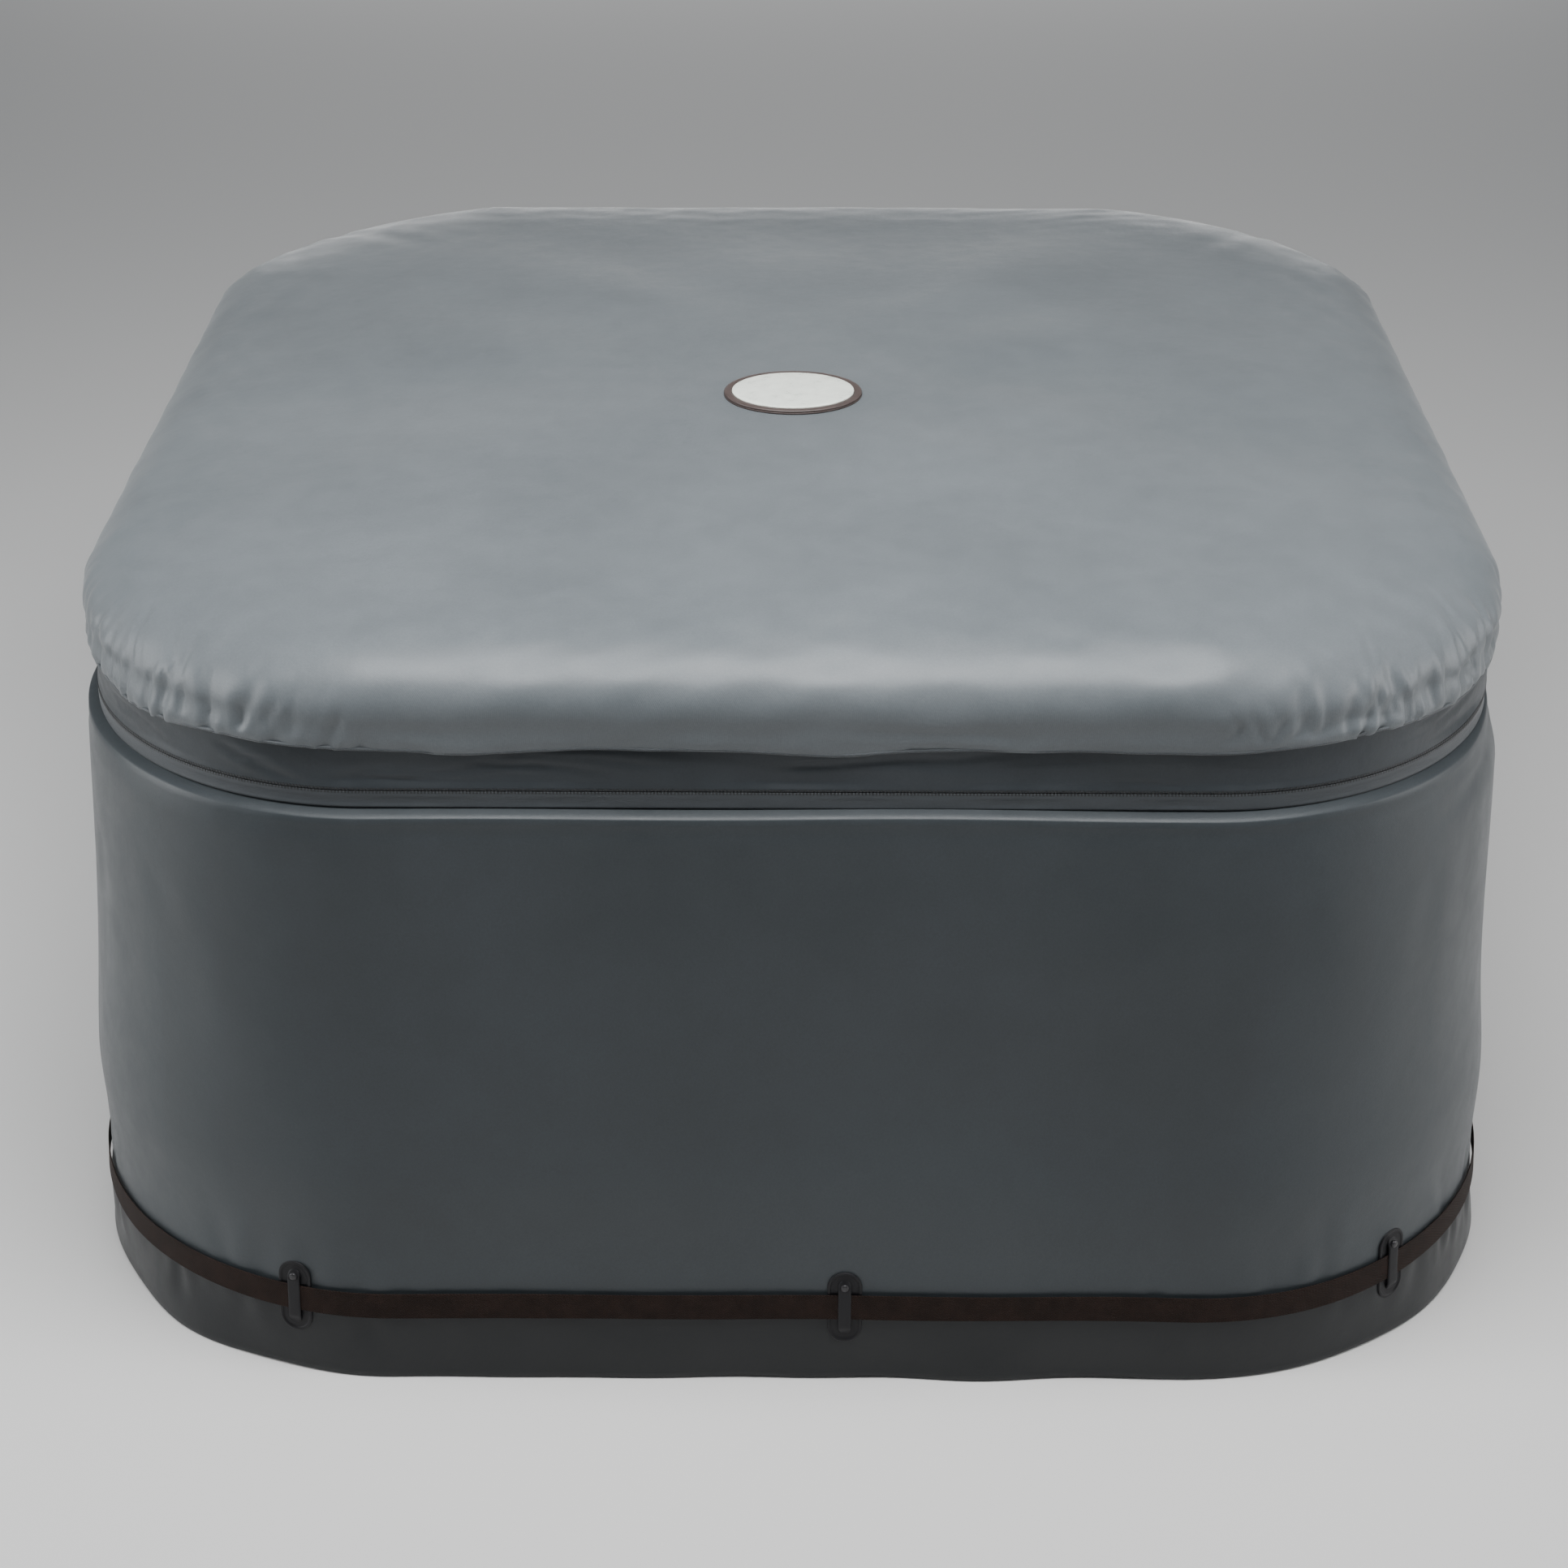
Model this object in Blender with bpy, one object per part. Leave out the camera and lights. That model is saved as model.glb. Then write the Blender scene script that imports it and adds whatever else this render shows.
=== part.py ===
"""Square inflatable hot tub wearing its zipped insulating cover.

Frame: metres, +Z up, origin on the ground under the middle of the tub, front towards -Y.
The tub is an air wall (an outer and an inner skin tied by webs) round a padded floor. The cover is a
jacket round the wall, held in by a belt, and a lid with an air bladder that zips to the jacket and
folds back over a cloth hinge at the rear.
"""
import math

import bmesh
import bpy
from mathutils import Matrix, Vector

# Tub
TUB_WIDTH = 1.710        # outer skin, flat to flat
TUB_CORNER = 0.365       # radius of the outer skin's corners
TUB_HEIGHT = 0.760       # top of the rim above the ground
WALL = 0.155             # outer skin to inner skin
FILM = 0.002             # each skin
MAT_THICK = 0.006
FLOOR_THICK = 0.008
BASE_FOLD = 0.040        # radius where the wall turns under
RIM_FOLD = 0.070         # radius where the wall turns over
WEB_OFFSET = 0.250       # of each web from the middle of its side
CHANNEL_WIDTH = 0.038    # bubble channel round the foot of the inner skin
CHANNEL_HEIGHT = 0.030

# Cover jacket
JACKET_EASE = 0.012      # between the tub and the jacket at the shoulder
JACKET_CLOTH = 0.003
SHOULDER_RISE = 0.020    # shoulder above the rim
SHOULDER_ROLL = 0.008    # radius of the shoulder's fold
HEM_FLARE = 0.055        # how far the hem stands out beyond the shoulder
HEM_LIFT = 0.0015        # hem above the ground
SERVICE_WIDTH = 0.480    # opening in the rear of the jacket for hoses
SERVICE_LOW = 0.170
SERVICE_HIGH = 0.430
SERVICE_CORNER = 0.040

# Zip, hinge and lid
TAPE_CLOTH = 0.002
TAPE_HEIGHT = 0.022      # lower tape, shoulder to zip
ZIP_GAP = 0.0015
BAND_HEIGHT = 0.053      # recessed band between the zip and the lid's hem
LID_OVERHANG = 0.004     # lid's bulge beyond the shoulder
LID_CLOTH = 0.003
LID_CROWN_RUN = 0.182    # how far in from the bulge the crown starts
LID_CROWN_RISE = 0.108   # crown above the bulge
LID_BULGE_RISE = 0.018   # bulge above the lid's hem
LID_DOME = 0.027         # middle of the lid above its crown
TRAY_EASE = 0.002        # between the lid's underside and the jacket's fold
TRAY_CLOTH = 0.002
REST_EASE = 0.001        # lid's underside above the rim
BLADDER_FILM = 0.002
BLADDER_EASE = 0.003
STRIP_CLOTH = 0.002
STRIP_HALF = 0.400       # half the length of the hinge strip
STRIP_EASE = 0.0005      # between the lower strip's foot and the jacket
STRIP_REACH = 0.050      # of the lower strip below the shoulder
HINGE_STAND = 0.0040     # fold line outside the lower strip
HINGE_EASE = 0.001       # upper strip inside the fold line

# Belt, keepers and buckle
BELT_MIDDLE = 0.107
BELT_HEIGHT = 0.035
BELT_THICK = 0.0016
LOOP_COUNT = 9
LOOP_START = 0.070       # first keeper along the front, right of the middle
LOOP_SPREAD = 0.963      # share of an even spacing, which leaves room round the buckle
LOOP_WIDTH = 0.043
LOOP_LENGTH = 0.100
LOOP_PLATE = 0.0018
LOOP_STRIP_WIDTH = 0.016
LOOP_STRIP_LENGTH = 0.078
POST_EASE = 0.003        # between the belt's edge and a keeper's post
POST_SHARE = 0.7         # of a post's half-width to its strip's
RIVET_RADIUS = 0.005
RIVET_PROUD = 0.0096
BUCKLE_HALF = 0.045
BUCKLE_HEIGHT = 0.044
BUCKLE_MOUTH = 0.022     # depth of the socket's mouth
BUCKLE_DEPTH = 0.0096
BELT_END_LEFT = -0.030
BELT_END_RIGHT = 0.020

# Fittings in the rear wall
PORTS = {                # name: (x, z, tube radius, bore radius)
    "inlet": (-0.150, 0.250, 0.025, 0.020),
    "outlet": (0.150, 0.250, 0.025, 0.020),
    "air": (0.0, 0.330, 0.019, 0.014),
}
PORT_REACH = 0.030       # tube beyond the outer skin
PORT_LIP = 0.011         # flange beyond the tube
PORT_FLANGE = 0.004
GASKET_THICK = 0.003
NUT_THICK = 0.010
CAP_THICK = 0.0028
CAP_LIP = 0.002          # cap beyond its tube
DRAIN = (-0.340, 0.075, 0.015, 0.0105)
DRAIN_REACH = 0.017
VALVE = (0.190, 0.365, 0.016, 0.010)
VALVE_LIP = 0.008
VALVE_FLANGE = 0.003
VALVE_DEPTH = 0.017
STRAINER_DEPTH = 0.022
STRAINER_SLOTS = 5
STRAINER_EASE = 0.002    # round the port's flange
STRAINER_WALL = 0.003
PLUG_LENGTH = 0.010
BLADDER_HOLE = 0.012
BLADDER_FOLD = 0.040     # radius where the bladder's base turns up
LID_CAP_RADIUS = 0.022
LID_CAP_THICK = 0.007
LID_CAP_STEM = 0.012
LID_CAP_NECK = 0.0072    # radius of the cap's stem

# Badge
BADGE_LENGTH = 0.184
BADGE_WIDTH = 0.152
BADGE_BASE = 0.005
BADGE_PLATE = 0.003
BADGE_RIM = 0.013
BADGE_FORWARD = 0.120    # of the lid's middle

# Zip slider
SLIDER_LENGTH = 0.028
SLIDER_HEIGHT = 0.012
SLIDER_PARK = 0.440
PULL_LENGTH = 0.036
PULL_WIDTH = 0.008
PULL_THICK = 0.0015
PULL_HEAD = 0.0022       # pull above its own axis
SLIDER_PLATE = 0.003     # slider in front of the tapes
SLIDER_BACK = 0.0016     # slider behind the tapes
LUG_EASE = 0.0008
LUG_WIDTH = 0.0015
LUG_RISE = 0.003         # lugs' middle above the zip
LUG_HALF = 0.0025

# Fits
GAP = 0.0003             # between pieces that touch
HOLE_EASE = 0.0005       # round a fitting in its hole
PLUG_EASE = 0.0006       # round a plug in its bore
CORNER_STEPS = 8
ROUND_STEPS = 20
CORNER_KEEP = 0.955      # rings below this share of the tub's width draw their corners in

# Worked out from the sizes above
TUB_HALF = TUB_WIDTH / 2
STRAIGHT = TUB_HALF - TUB_CORNER
INNER_HALF = TUB_HALF - WALL
FLOOR_BASE = MAT_THICK + GAP
WALL_BASE = FLOOR_BASE + FLOOR_THICK + GAP
SHOULDER_Z = TUB_HEIGHT + SHOULDER_RISE
JACKET_TOP = TUB_HALF + JACKET_EASE + JACKET_CLOTH
JACKET_HEM = JACKET_TOP + HEM_FLARE
JACKET_FOLD = JACKET_TOP - SHOULDER_ROLL
ROLL_Z = SHOULDER_Z - SHOULDER_ROLL
ZIP_Z = SHOULDER_Z + TAPE_HEIGHT
TAPE_HALF = JACKET_FOLD + 2 * TAPE_CLOTH
LID_HEM_Z = ZIP_Z + BAND_HEIGHT
LID_HALF = JACKET_TOP + LID_OVERHANG
BULGE_Z = LID_HEM_Z + LID_BULGE_RISE
CROWN_HALF = LID_HALF - LID_CROWN_RUN
CROWN_Z = BULGE_Z + LID_CROWN_RISE
DOME_SHARES = (0.7, 0.48, 0.3)  # rings of the dome as shares of the crown's half-width
TRAY_HALF = JACKET_FOLD - TRAY_EASE
TRAY_BASE = TUB_HEIGHT + REST_EASE
STRIP_Y = JACKET_TOP + HEM_FLARE * (STRIP_REACH - SHOULDER_ROLL) / (ROLL_Z - HEM_LIFT) + STRIP_EASE
HINGE_Y = STRIP_Y + STRIP_CLOTH + HINGE_STAND
FLARE_ANGLE = math.atan2(HEM_FLARE, ROLL_Z - HEM_LIFT)


def jacket_half(height):
    """Half-width of the jacket's outside at a height below the shoulder."""
    return JACKET_HEM - HEM_FLARE * (height - HEM_LIFT) / (ROLL_Z - HEM_LIFT)


def corner_centre(half):
    """Distance of a ring's corner centres from the middle, along x and y."""
    return STRAIGHT * min(1.0, half / (CORNER_KEEP * TUB_HALF))


def square_ring(half, height):
    """Points of a square ring with round corners, anticlockwise from above."""
    centre = corner_centre(half)
    points = []
    for corner, (sx, sy) in enumerate(((1, 1), (-1, 1), (-1, -1), (1, -1))):
        for step in range(CORNER_STEPS + 1):
            turn = (corner + step / CORNER_STEPS) * math.pi / 2
            x = sx * centre + (half - centre) * math.cos(turn)
            y = sy * centre + (half - centre) * math.sin(turn)
            points.append((x, y, height))
    return points


def arc(middle, radii, start, end, steps):
    """Points (half, height) on a quarter of an ellipse, angles in degrees."""
    angles = [math.radians(start + (end - start) * i / steps) for i in range(steps + 1)]
    return [(middle[0] + radii[0] * math.cos(a), middle[1] + radii[1] * math.sin(a)) for a in angles]


def material(name, colour, roughness, metallic=0.0):
    """A plain Principled material."""
    made = bpy.data.materials.new(name)
    made.use_nodes = True
    shader = made.node_tree.nodes["Principled BSDF"]
    shader.inputs["Base Color"].default_value = (*colour, 1.0)
    shader.inputs["Roughness"].default_value = roughness
    shader.inputs["Metallic"].default_value = metallic
    return made


def make(name, bm, finish, place=None, parent=None):
    """Link a mesh as a named object, at a place and under a parent."""
    bmesh.ops.recalc_face_normals(bm, faces=bm.faces)
    mesh = bpy.data.meshes.new(name)
    bm.to_mesh(mesh)
    bm.free()
    mesh.materials.append(finish)
    return link(name, mesh, place, parent)


def link(name, mesh, place=None, parent=None):
    """Put a mesh in the scene; origin holds the moving pieces' own axis."""
    made = bpy.data.objects.new(name, mesh)
    bpy.context.collection.objects.link(made)
    made.matrix_world = place or Matrix()
    if parent:
        made.parent = parent
        made.matrix_parent_inverse = parent.matrix_world.inverted()
    return made


def pivot(name, place):
    """An empty on a joint's axis."""
    made = bpy.data.objects.new(name, None)
    bpy.context.collection.objects.link(made)
    made.matrix_world = place
    return made


def rings_mesh(contour, closed):
    """Square rings along a contour of (half, height), joined; open ends are capped."""
    bm = bmesh.new()
    loops = [[bm.verts.new(p) for p in square_ring(half, z)] for half, z in contour]
    followers = loops[1:] + (loops[:1] if closed else [])
    for lower, upper in zip(loops, followers):
        for i in range(len(lower)):
            j = (i + 1) % len(lower)
            bm.faces.new((lower[i], lower[j], upper[j], upper[i]))
    if not closed:
        bm.faces.new(loops[0])
        bm.faces.new(loops[-1])
    return bm


def ring_piece(name, contour, finish, closed=True, parent=None):
    """A piece swept round the tub from a contour of (half, height)."""
    return make(name, rings_mesh(contour, closed), finish, parent=parent)


def turned(profile, closed=True):
    """A body turned about its own z axis from a profile of (radius, height)."""
    bm = bmesh.new()
    verts = [bm.verts.new((radius, 0.0, height)) for radius, height in profile]
    edges = [bm.edges.new(pair) for pair in zip(verts, verts[1:])]
    if closed:
        edges.append(bm.edges.new((verts[-1], verts[0])))
    bmesh.ops.spin(bm, geom=verts + edges, cent=(0, 0, 0), axis=(0, 0, 1), dvec=(0, 0, 0),
                   angle=2 * math.pi, steps=ROUND_STEPS, use_merge=True)
    bmesh.ops.remove_doubles(bm, verts=bm.verts, dist=1e-6)
    return bm


def block(low, high):
    """A box between two corners."""
    bm = bmesh.new()
    bmesh.ops.create_cube(bm, size=1.0)
    size = Vector(high) - Vector(low)
    bmesh.ops.scale(bm, vec=size, verts=bm.verts)
    bmesh.ops.translate(bm, vec=(Vector(high) + Vector(low)) / 2, verts=bm.verts)
    return bm


def extruded(outline, length):
    """A flat outline of points pushed along z, centred on zero."""
    bm = bmesh.new()
    face = bm.faces.new([bm.verts.new((x, y, -length / 2)) for x, y in outline])
    pushed = bmesh.ops.extrude_face_region(bm, geom=[face])
    top = [item for item in pushed["geom"] if isinstance(item, bmesh.types.BMVert)]
    bmesh.ops.translate(bm, vec=(0, 0, length), verts=top)
    return bm


def stadium(width, length, steps=5):
    """Outline of a slot shape standing along y."""
    radius, reach = width / 2, (length - width) / 2
    turns = [math.pi * i / steps for i in range(steps + 1)]
    upper = [(radius * math.cos(t), reach + radius * math.sin(t)) for t in turns]
    return upper + [(-x, -y) for x, y in upper]


def oval(length, width, steps=32):
    """Outline of an ellipse."""
    turns = [2 * math.pi * i / steps for i in range(steps)]
    return [(length / 2 * math.cos(t), width / 2 * math.sin(t)) for t in turns]


def tool(name, bm, place=None):
    """A hidden body that shapes another through a Boolean."""
    made = make(name, bm, bpy.data.materials["guide"], place)
    made.hide_render = True
    made.display_type = "WIRE"
    return made


def combine(piece, other, operation):
    """Add a Boolean modifier."""
    change = piece.modifiers.new(operation.lower(), "BOOLEAN")
    change.operation = operation
    change.solver = "EXACT"
    change.object = other


def facing_rear(x, y, z):
    """Place whose own +z axis points to the rear."""
    return Matrix.Translation((x, y, z)) @ Matrix.Rotation(math.radians(-90), 4, "X")


def rear_drill(name, x, z, radius, near, far):
    """A round cutter through the rear wall, from near to far along y."""
    bm = turned([(0, 0), (radius, 0), (radius, far - near), (0, far - near)], closed=False)
    return tool(name, bm, facing_rear(x, near, z))


def build_tub(finishes):
    """Ground mat, floor, air wall and its webs, and the bubble channel."""
    mat_half = INNER_HALF + WALL - FILM
    ring_piece("ground_mat", [(mat_half, 0), (mat_half, MAT_THICK)], finishes["mat"], closed=False)
    floor_top = FLOOR_BASE + FLOOR_THICK
    floor_half = TUB_HALF - BASE_FOLD / 2
    ring_piece("tub_floor", [(floor_half, FLOOR_BASE), (floor_half, floor_top)], finishes["liner"],
               closed=False)

    base_mid = (TUB_HALF - BASE_FOLD, WALL_BASE + BASE_FOLD)
    rim_mid = (TUB_HALF - RIM_FOLD, TUB_HEIGHT - RIM_FOLD)
    outside = [(INNER_HALF + GAP, WALL_BASE)]
    outside += arc(base_mid, (BASE_FOLD, BASE_FOLD), -90, 0, 2)
    outside += arc(rim_mid, (RIM_FOLD, RIM_FOLD), 0, 90, 3)
    outside += [(INNER_HALF - FILM, TUB_HEIGHT)]
    inside = [(INNER_HALF - FILM, TUB_HEIGHT - FILM)]
    inside += arc(rim_mid, (RIM_FOLD - FILM, RIM_FOLD - FILM), 90, 0, 3)
    inside += arc(base_mid, (BASE_FOLD - FILM, BASE_FOLD - FILM), 0, -90, 2)
    inside += [(INNER_HALF + GAP, WALL_BASE + FILM)]
    outer = ring_piece("outer_wall", outside + inside, finishes["skin"])

    inner_top = TUB_HEIGHT - FILM - GAP
    inner = ring_piece("inner_wall", [(INNER_HALF, WALL_BASE), (INNER_HALF, inner_top),
                                      (INNER_HALF - FILM, inner_top), (INNER_HALF - FILM, WALL_BASE)],
                       finishes["liner"])

    far = INNER_HALF - FILM - GAP
    near = INNER_HALF - FILM - CHANNEL_WIDTH
    top = WALL_BASE + CHANNEL_HEIGHT
    ring_piece("bubble_channel", [(far, top), (far, top - FILM), (near + FILM, top - FILM),
                                  (near + FILM, WALL_BASE), (near, WALL_BASE), (near, top)],
               finishes["channel"])

    low = (-FILM / 2, INNER_HALF + GAP, WALL_BASE + BASE_FOLD)
    high = (FILM / 2, TUB_HALF - FILM - GAP, TUB_HEIGHT - RIM_FOLD)
    count = 0
    for side in range(4):
        for offset in (-WEB_OFFSET, WEB_OFFSET):
            count += 1
            place = Matrix.Rotation(side * math.pi / 2, 4, "Z") @ Matrix.Translation((offset, 0, 0))
            make(f"wall_web_{count:02d}", block(low, high), finishes["web"], place)
    return outer, inner


def drill_walls(outer, inner):
    """Holes for the fittings, through both skins or through the outer one."""
    through = [(name, *spot[:3]) for name, spot in PORTS.items()] + [("drain", *DRAIN[:3])]
    start, finish = INNER_HALF - WALL / 2, TUB_HALF + PORT_REACH
    for name, x, z, tube in through:
        drill = rear_drill(f"cut_{name}", x, z, tube + HOLE_EASE, start, finish)
        combine(outer, drill, "DIFFERENCE")
        combine(inner, drill, "DIFFERENCE")
    x, z, tube = VALVE[:3]
    combine(outer, rear_drill("cut_valve", x, z, tube + HOLE_EASE, start, finish), "DIFFERENCE")


def plug(tube, bore):
    """A push-in cap for a tube: plug, disc and a small knob; the disc's back is at height zero."""
    stem, disc, knob = bore - PLUG_EASE, tube + CAP_LIP, bore / 2
    return turned([(0, -PLUG_LENGTH), (stem, -PLUG_LENGTH), (stem, 0), (disc, 0), (disc, CAP_THICK),
                   (knob, CAP_THICK), (knob, 2 * CAP_THICK), (0, 2 * CAP_THICK)], closed=False)


def build_ports(finishes):
    """Hose ports with their gaskets, lock nuts, caps and strainers."""
    inner_face = INNER_HALF - FILM - GAP
    for name, (x, z, tube, bore) in PORTS.items():
        lip = tube + PORT_LIP
        length = TUB_HALF + PORT_REACH - inner_face
        profile = [(bore, -PORT_FLANGE), (lip, -PORT_FLANGE), (lip, 0), (tube, 0), (tube, length),
                   (bore, length)]
        make(f"{name}_fitting", turned(profile), finishes["fitting"], facing_rear(x, inner_face, z))
        sleeve = tube + GAP
        make(f"{name}_gasket", turned([(sleeve, 0), (lip, 0), (lip, GASKET_THICK),
                                       (sleeve, GASKET_THICK)]),
             finishes["seal"], facing_rear(x, TUB_HALF + GAP, z))
        make(f"{name}_lock_nut", turned([(sleeve, 0), (lip, 0), (lip, NUT_THICK), (sleeve, NUT_THICK)]),
             finishes["fitting"], facing_rear(x, TUB_HALF + GASKET_THICK + 2 * GAP, z))
        make(f"{name}_cap", plug(tube, bore), finishes["cap"],
             facing_rear(x, inner_face + length + GAP, z))
        if name != "air":
            build_strainer(f"{name}_strainer", x, z, lip, inner_face, finishes["cap"])


def build_strainer(name, x, z, lip, inner_face, finish):
    """A slotted cup that turns on over a port's inner flange."""
    inside = lip + STRAINER_EASE
    outside = inside + STRAINER_WALL
    profile = [(0, 0), (outside, 0), (outside, STRAINER_DEPTH), (inside, STRAINER_DEPTH),
               (inside, STRAINER_WALL), (0, STRAINER_WALL)]
    place = facing_rear(x, inner_face - STRAINER_DEPTH, z)
    cup = make(name, turned(profile, closed=False), finish, place)
    slots = bmesh.new()
    pitch = 2 * inside / (STRAINER_SLOTS + 1)
    for index in range(STRAINER_SLOTS):
        middle = -inside + pitch * (index + 1)
        reach = math.sqrt(inside ** 2 - middle ** 2) * 0.75
        slot = block((middle - pitch / 5, -reach, -STRAINER_WALL),
                     (middle + pitch / 5, reach, 2 * STRAINER_WALL))
        joined = bpy.data.meshes.new("slot")
        slot.to_mesh(joined)
        slot.free()
        slots.from_mesh(joined)
    combine(cup, tool(f"cut_{name}", slots, place), "DIFFERENCE")


def build_drain_and_valve(finishes):
    """Drain with its plug, and the wall's inflation valve with its cap."""
    x, z, tube, bore = DRAIN
    inner_face = INNER_HALF - FILM - GAP
    length = TUB_HALF + DRAIN_REACH - inner_face
    lip = tube + VALVE_LIP
    make("drain_fitting", turned([(bore, -PORT_FLANGE), (lip, -PORT_FLANGE), (lip, 0), (tube, 0),
                                  (tube, length), (bore, length)]),
         finishes["fitting"], facing_rear(x, inner_face, z))
    make("drain_cap", plug(tube, bore), finishes["cap"], facing_rear(x, inner_face + length + GAP, z))

    x, z, tube, bore = VALVE
    lip = tube + VALVE_LIP
    make("inflation_valve", turned([(bore, -VALVE_DEPTH), (tube, -VALVE_DEPTH), (tube, 0), (lip, 0),
                                    (lip, VALVE_FLANGE), (bore, VALVE_FLANGE)]),
         finishes["fitting"], facing_rear(x, TUB_HALF + GAP, z))
    make("inflation_valve_cap", plug(tube, bore), finishes["cap"],
         facing_rear(x, TUB_HALF + VALVE_FLANGE + 2 * GAP, z))


def build_jacket(finishes):
    """The side of the cover, its zip tape and the lower hinge strip."""
    roll = (JACKET_FOLD, ROLL_Z)
    inner_roll = SHOULDER_ROLL - JACKET_CLOTH
    contour = [(JACKET_HEM, HEM_LIFT)]
    contour += arc(roll, (SHOULDER_ROLL, SHOULDER_ROLL), 0, 90, 3)
    contour += arc(roll, (inner_roll, inner_roll), 90, 0, 3)
    contour += [(JACKET_HEM - JACKET_CLOTH, HEM_LIFT)]
    jacket = ring_piece("jacket_side", contour, finishes["jacket"])

    window = block((-SERVICE_WIDTH / 2, TUB_HALF - FILM, SERVICE_LOW),
                   (SERVICE_WIDTH / 2, JACKET_HEM + JACKET_CLOTH, SERVICE_HIGH))
    upright = [e for e in window.edges if abs(e.verts[0].co.y - e.verts[1].co.y) > JACKET_CLOTH]
    bmesh.ops.bevel(window, geom=upright, offset=SERVICE_CORNER, segments=4, affect="EDGES")
    combine(jacket, tool("cut_service", window), "DIFFERENCE")

    low, high = SHOULDER_Z + GAP, ZIP_Z - ZIP_GAP / 2
    ring_piece("zipper_lower_tape", [(TAPE_HALF, low), (TAPE_HALF, high),
                                     (TAPE_HALF - TAPE_CLOTH, high), (TAPE_HALF - TAPE_CLOTH, low)],
               finishes["tape"])
    make("hinge_strip_lower", block((-STRIP_HALF, STRIP_Y, SHOULDER_Z - STRIP_REACH),
                                    (STRIP_HALF, STRIP_Y + STRIP_CLOTH, ZIP_Z - ZIP_GAP / 2)),
         finishes["jacket"])


def lid_contour(inset):
    """Side, crown and dome of the lid, inset from its outer face, bulge first."""
    middle = (CROWN_HALF, BULGE_Z)
    points = arc(middle, (LID_CROWN_RUN - inset, LID_CROWN_RISE - inset), 0, 90, 5)
    for share in DOME_SHARES:
        points.append((CROWN_HALF * share, CROWN_Z + LID_DOME * (1 - share ** 2) - inset))
    return points


def build_lid(finishes, hinge):
    """Cover, underside, air bladder, zip band, hinge strip and badge of the lid."""
    outer = [(LID_HALF - 2 * LID_CLOTH, LID_HEM_Z),
             (LID_HALF - LID_CLOTH / 2, LID_HEM_Z + LID_BULGE_RISE / 3)]
    outer += lid_contour(0)
    inner = [(half - LID_CLOTH, z) for half, z in outer[:2]] + lid_contour(LID_CLOTH)
    ring_piece("lid_cover", inner[::-1] + outer, finishes["lid"], closed=False, parent=hinge)

    low, high = ZIP_Z + ZIP_GAP / 2, LID_HEM_Z - GAP
    ring_piece("zipper_upper_tape", [(TAPE_HALF, low), (TAPE_HALF, high),
                                     (TAPE_HALF - TAPE_CLOTH, high), (TAPE_HALF - TAPE_CLOTH, low)],
               finishes["tape"], parent=hinge)

    hole = BLADDER_HOLE + 4 * HOLE_EASE
    tray_top = ZIP_Z + TAPE_HEIGHT
    ring_piece("lid_underside", [(hole, TRAY_BASE), (TRAY_HALF, TRAY_BASE), (TRAY_HALF, tray_top),
                                 (TRAY_HALF - TRAY_CLOTH, tray_top),
                                 (TRAY_HALF - TRAY_CLOTH, TRAY_BASE + TRAY_CLOTH),
                                 (hole, TRAY_BASE + TRAY_CLOTH)],
               finishes["underside"], parent=hinge)

    base = TRAY_BASE + TRAY_CLOTH + BLADDER_EASE / 2
    side = TRAY_HALF - TRAY_CLOTH - BLADDER_EASE
    drop = LID_CLOTH + BLADDER_EASE
    contour = bladder_contour(base, side, drop)
    inner_contour = bladder_contour(base + BLADDER_FILM, side - BLADDER_FILM, drop + BLADDER_FILM)
    contour = [(BLADDER_HOLE, base)] + contour
    inner_contour = [(BLADDER_HOLE, base + BLADDER_FILM)] + inner_contour
    ring_piece("lid_bladder", inner_contour[::-1] + contour, finishes["bladder"], closed=False,
               parent=hinge)

    cap = turned([(0, -LID_CAP_THICK), (LID_CAP_RADIUS, -LID_CAP_THICK), (LID_CAP_RADIUS, 0),
                  (LID_CAP_NECK, 0), (LID_CAP_NECK, LID_CAP_STEM), (0, LID_CAP_STEM)],
                 closed=False)
    make("lid_valve_cap", cap, finishes["cap"], Matrix.Translation((0, 0, TRAY_BASE - GAP)), hinge)

    strip_out = HINGE_Y - HINGE_EASE
    make("hinge_strip_upper", block((-STRIP_HALF, strip_out - STRIP_CLOTH, ZIP_Z + ZIP_GAP / 2),
                                    (STRIP_HALF, strip_out, BULGE_Z)),
         finishes["lid"], parent=hinge)

    patch = CROWN_Z + LID_DOME * (1 - DOME_SHARES[-1] ** 2)
    base_z = patch + GAP
    make("badge_base", extruded(oval(BADGE_LENGTH, BADGE_WIDTH), BADGE_BASE), finishes["badge"],
         Matrix.Translation((0, -BADGE_FORWARD, base_z + BADGE_BASE / 2)), hinge)
    plate_z = base_z + BADGE_BASE + GAP
    face = oval(BADGE_LENGTH - 2 * BADGE_RIM, BADGE_WIDTH - 2 * BADGE_RIM)
    make("badge_plate", extruded(face, BADGE_PLATE), finishes["badge_face"],
         Matrix.Translation((0, -BADGE_FORWARD, plate_z + BADGE_PLATE / 2)), hinge)


def bladder_contour(base, side, drop):
    """Outline of the air bladder from its flat base to its top."""
    foot = (side - BLADDER_FOLD, base + BLADDER_FOLD)
    points = arc(foot, (BLADDER_FOLD, BLADDER_FOLD), -90, 0, 2)
    run = side - CROWN_HALF
    points += arc((CROWN_HALF, BULGE_Z), (run, LID_CROWN_RISE - drop), 0, 90, 3)
    for share in DOME_SHARES:
        points.append((CROWN_HALF * share, CROWN_Z + LID_DOME * (1 - share ** 2) - drop))
    return points


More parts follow.
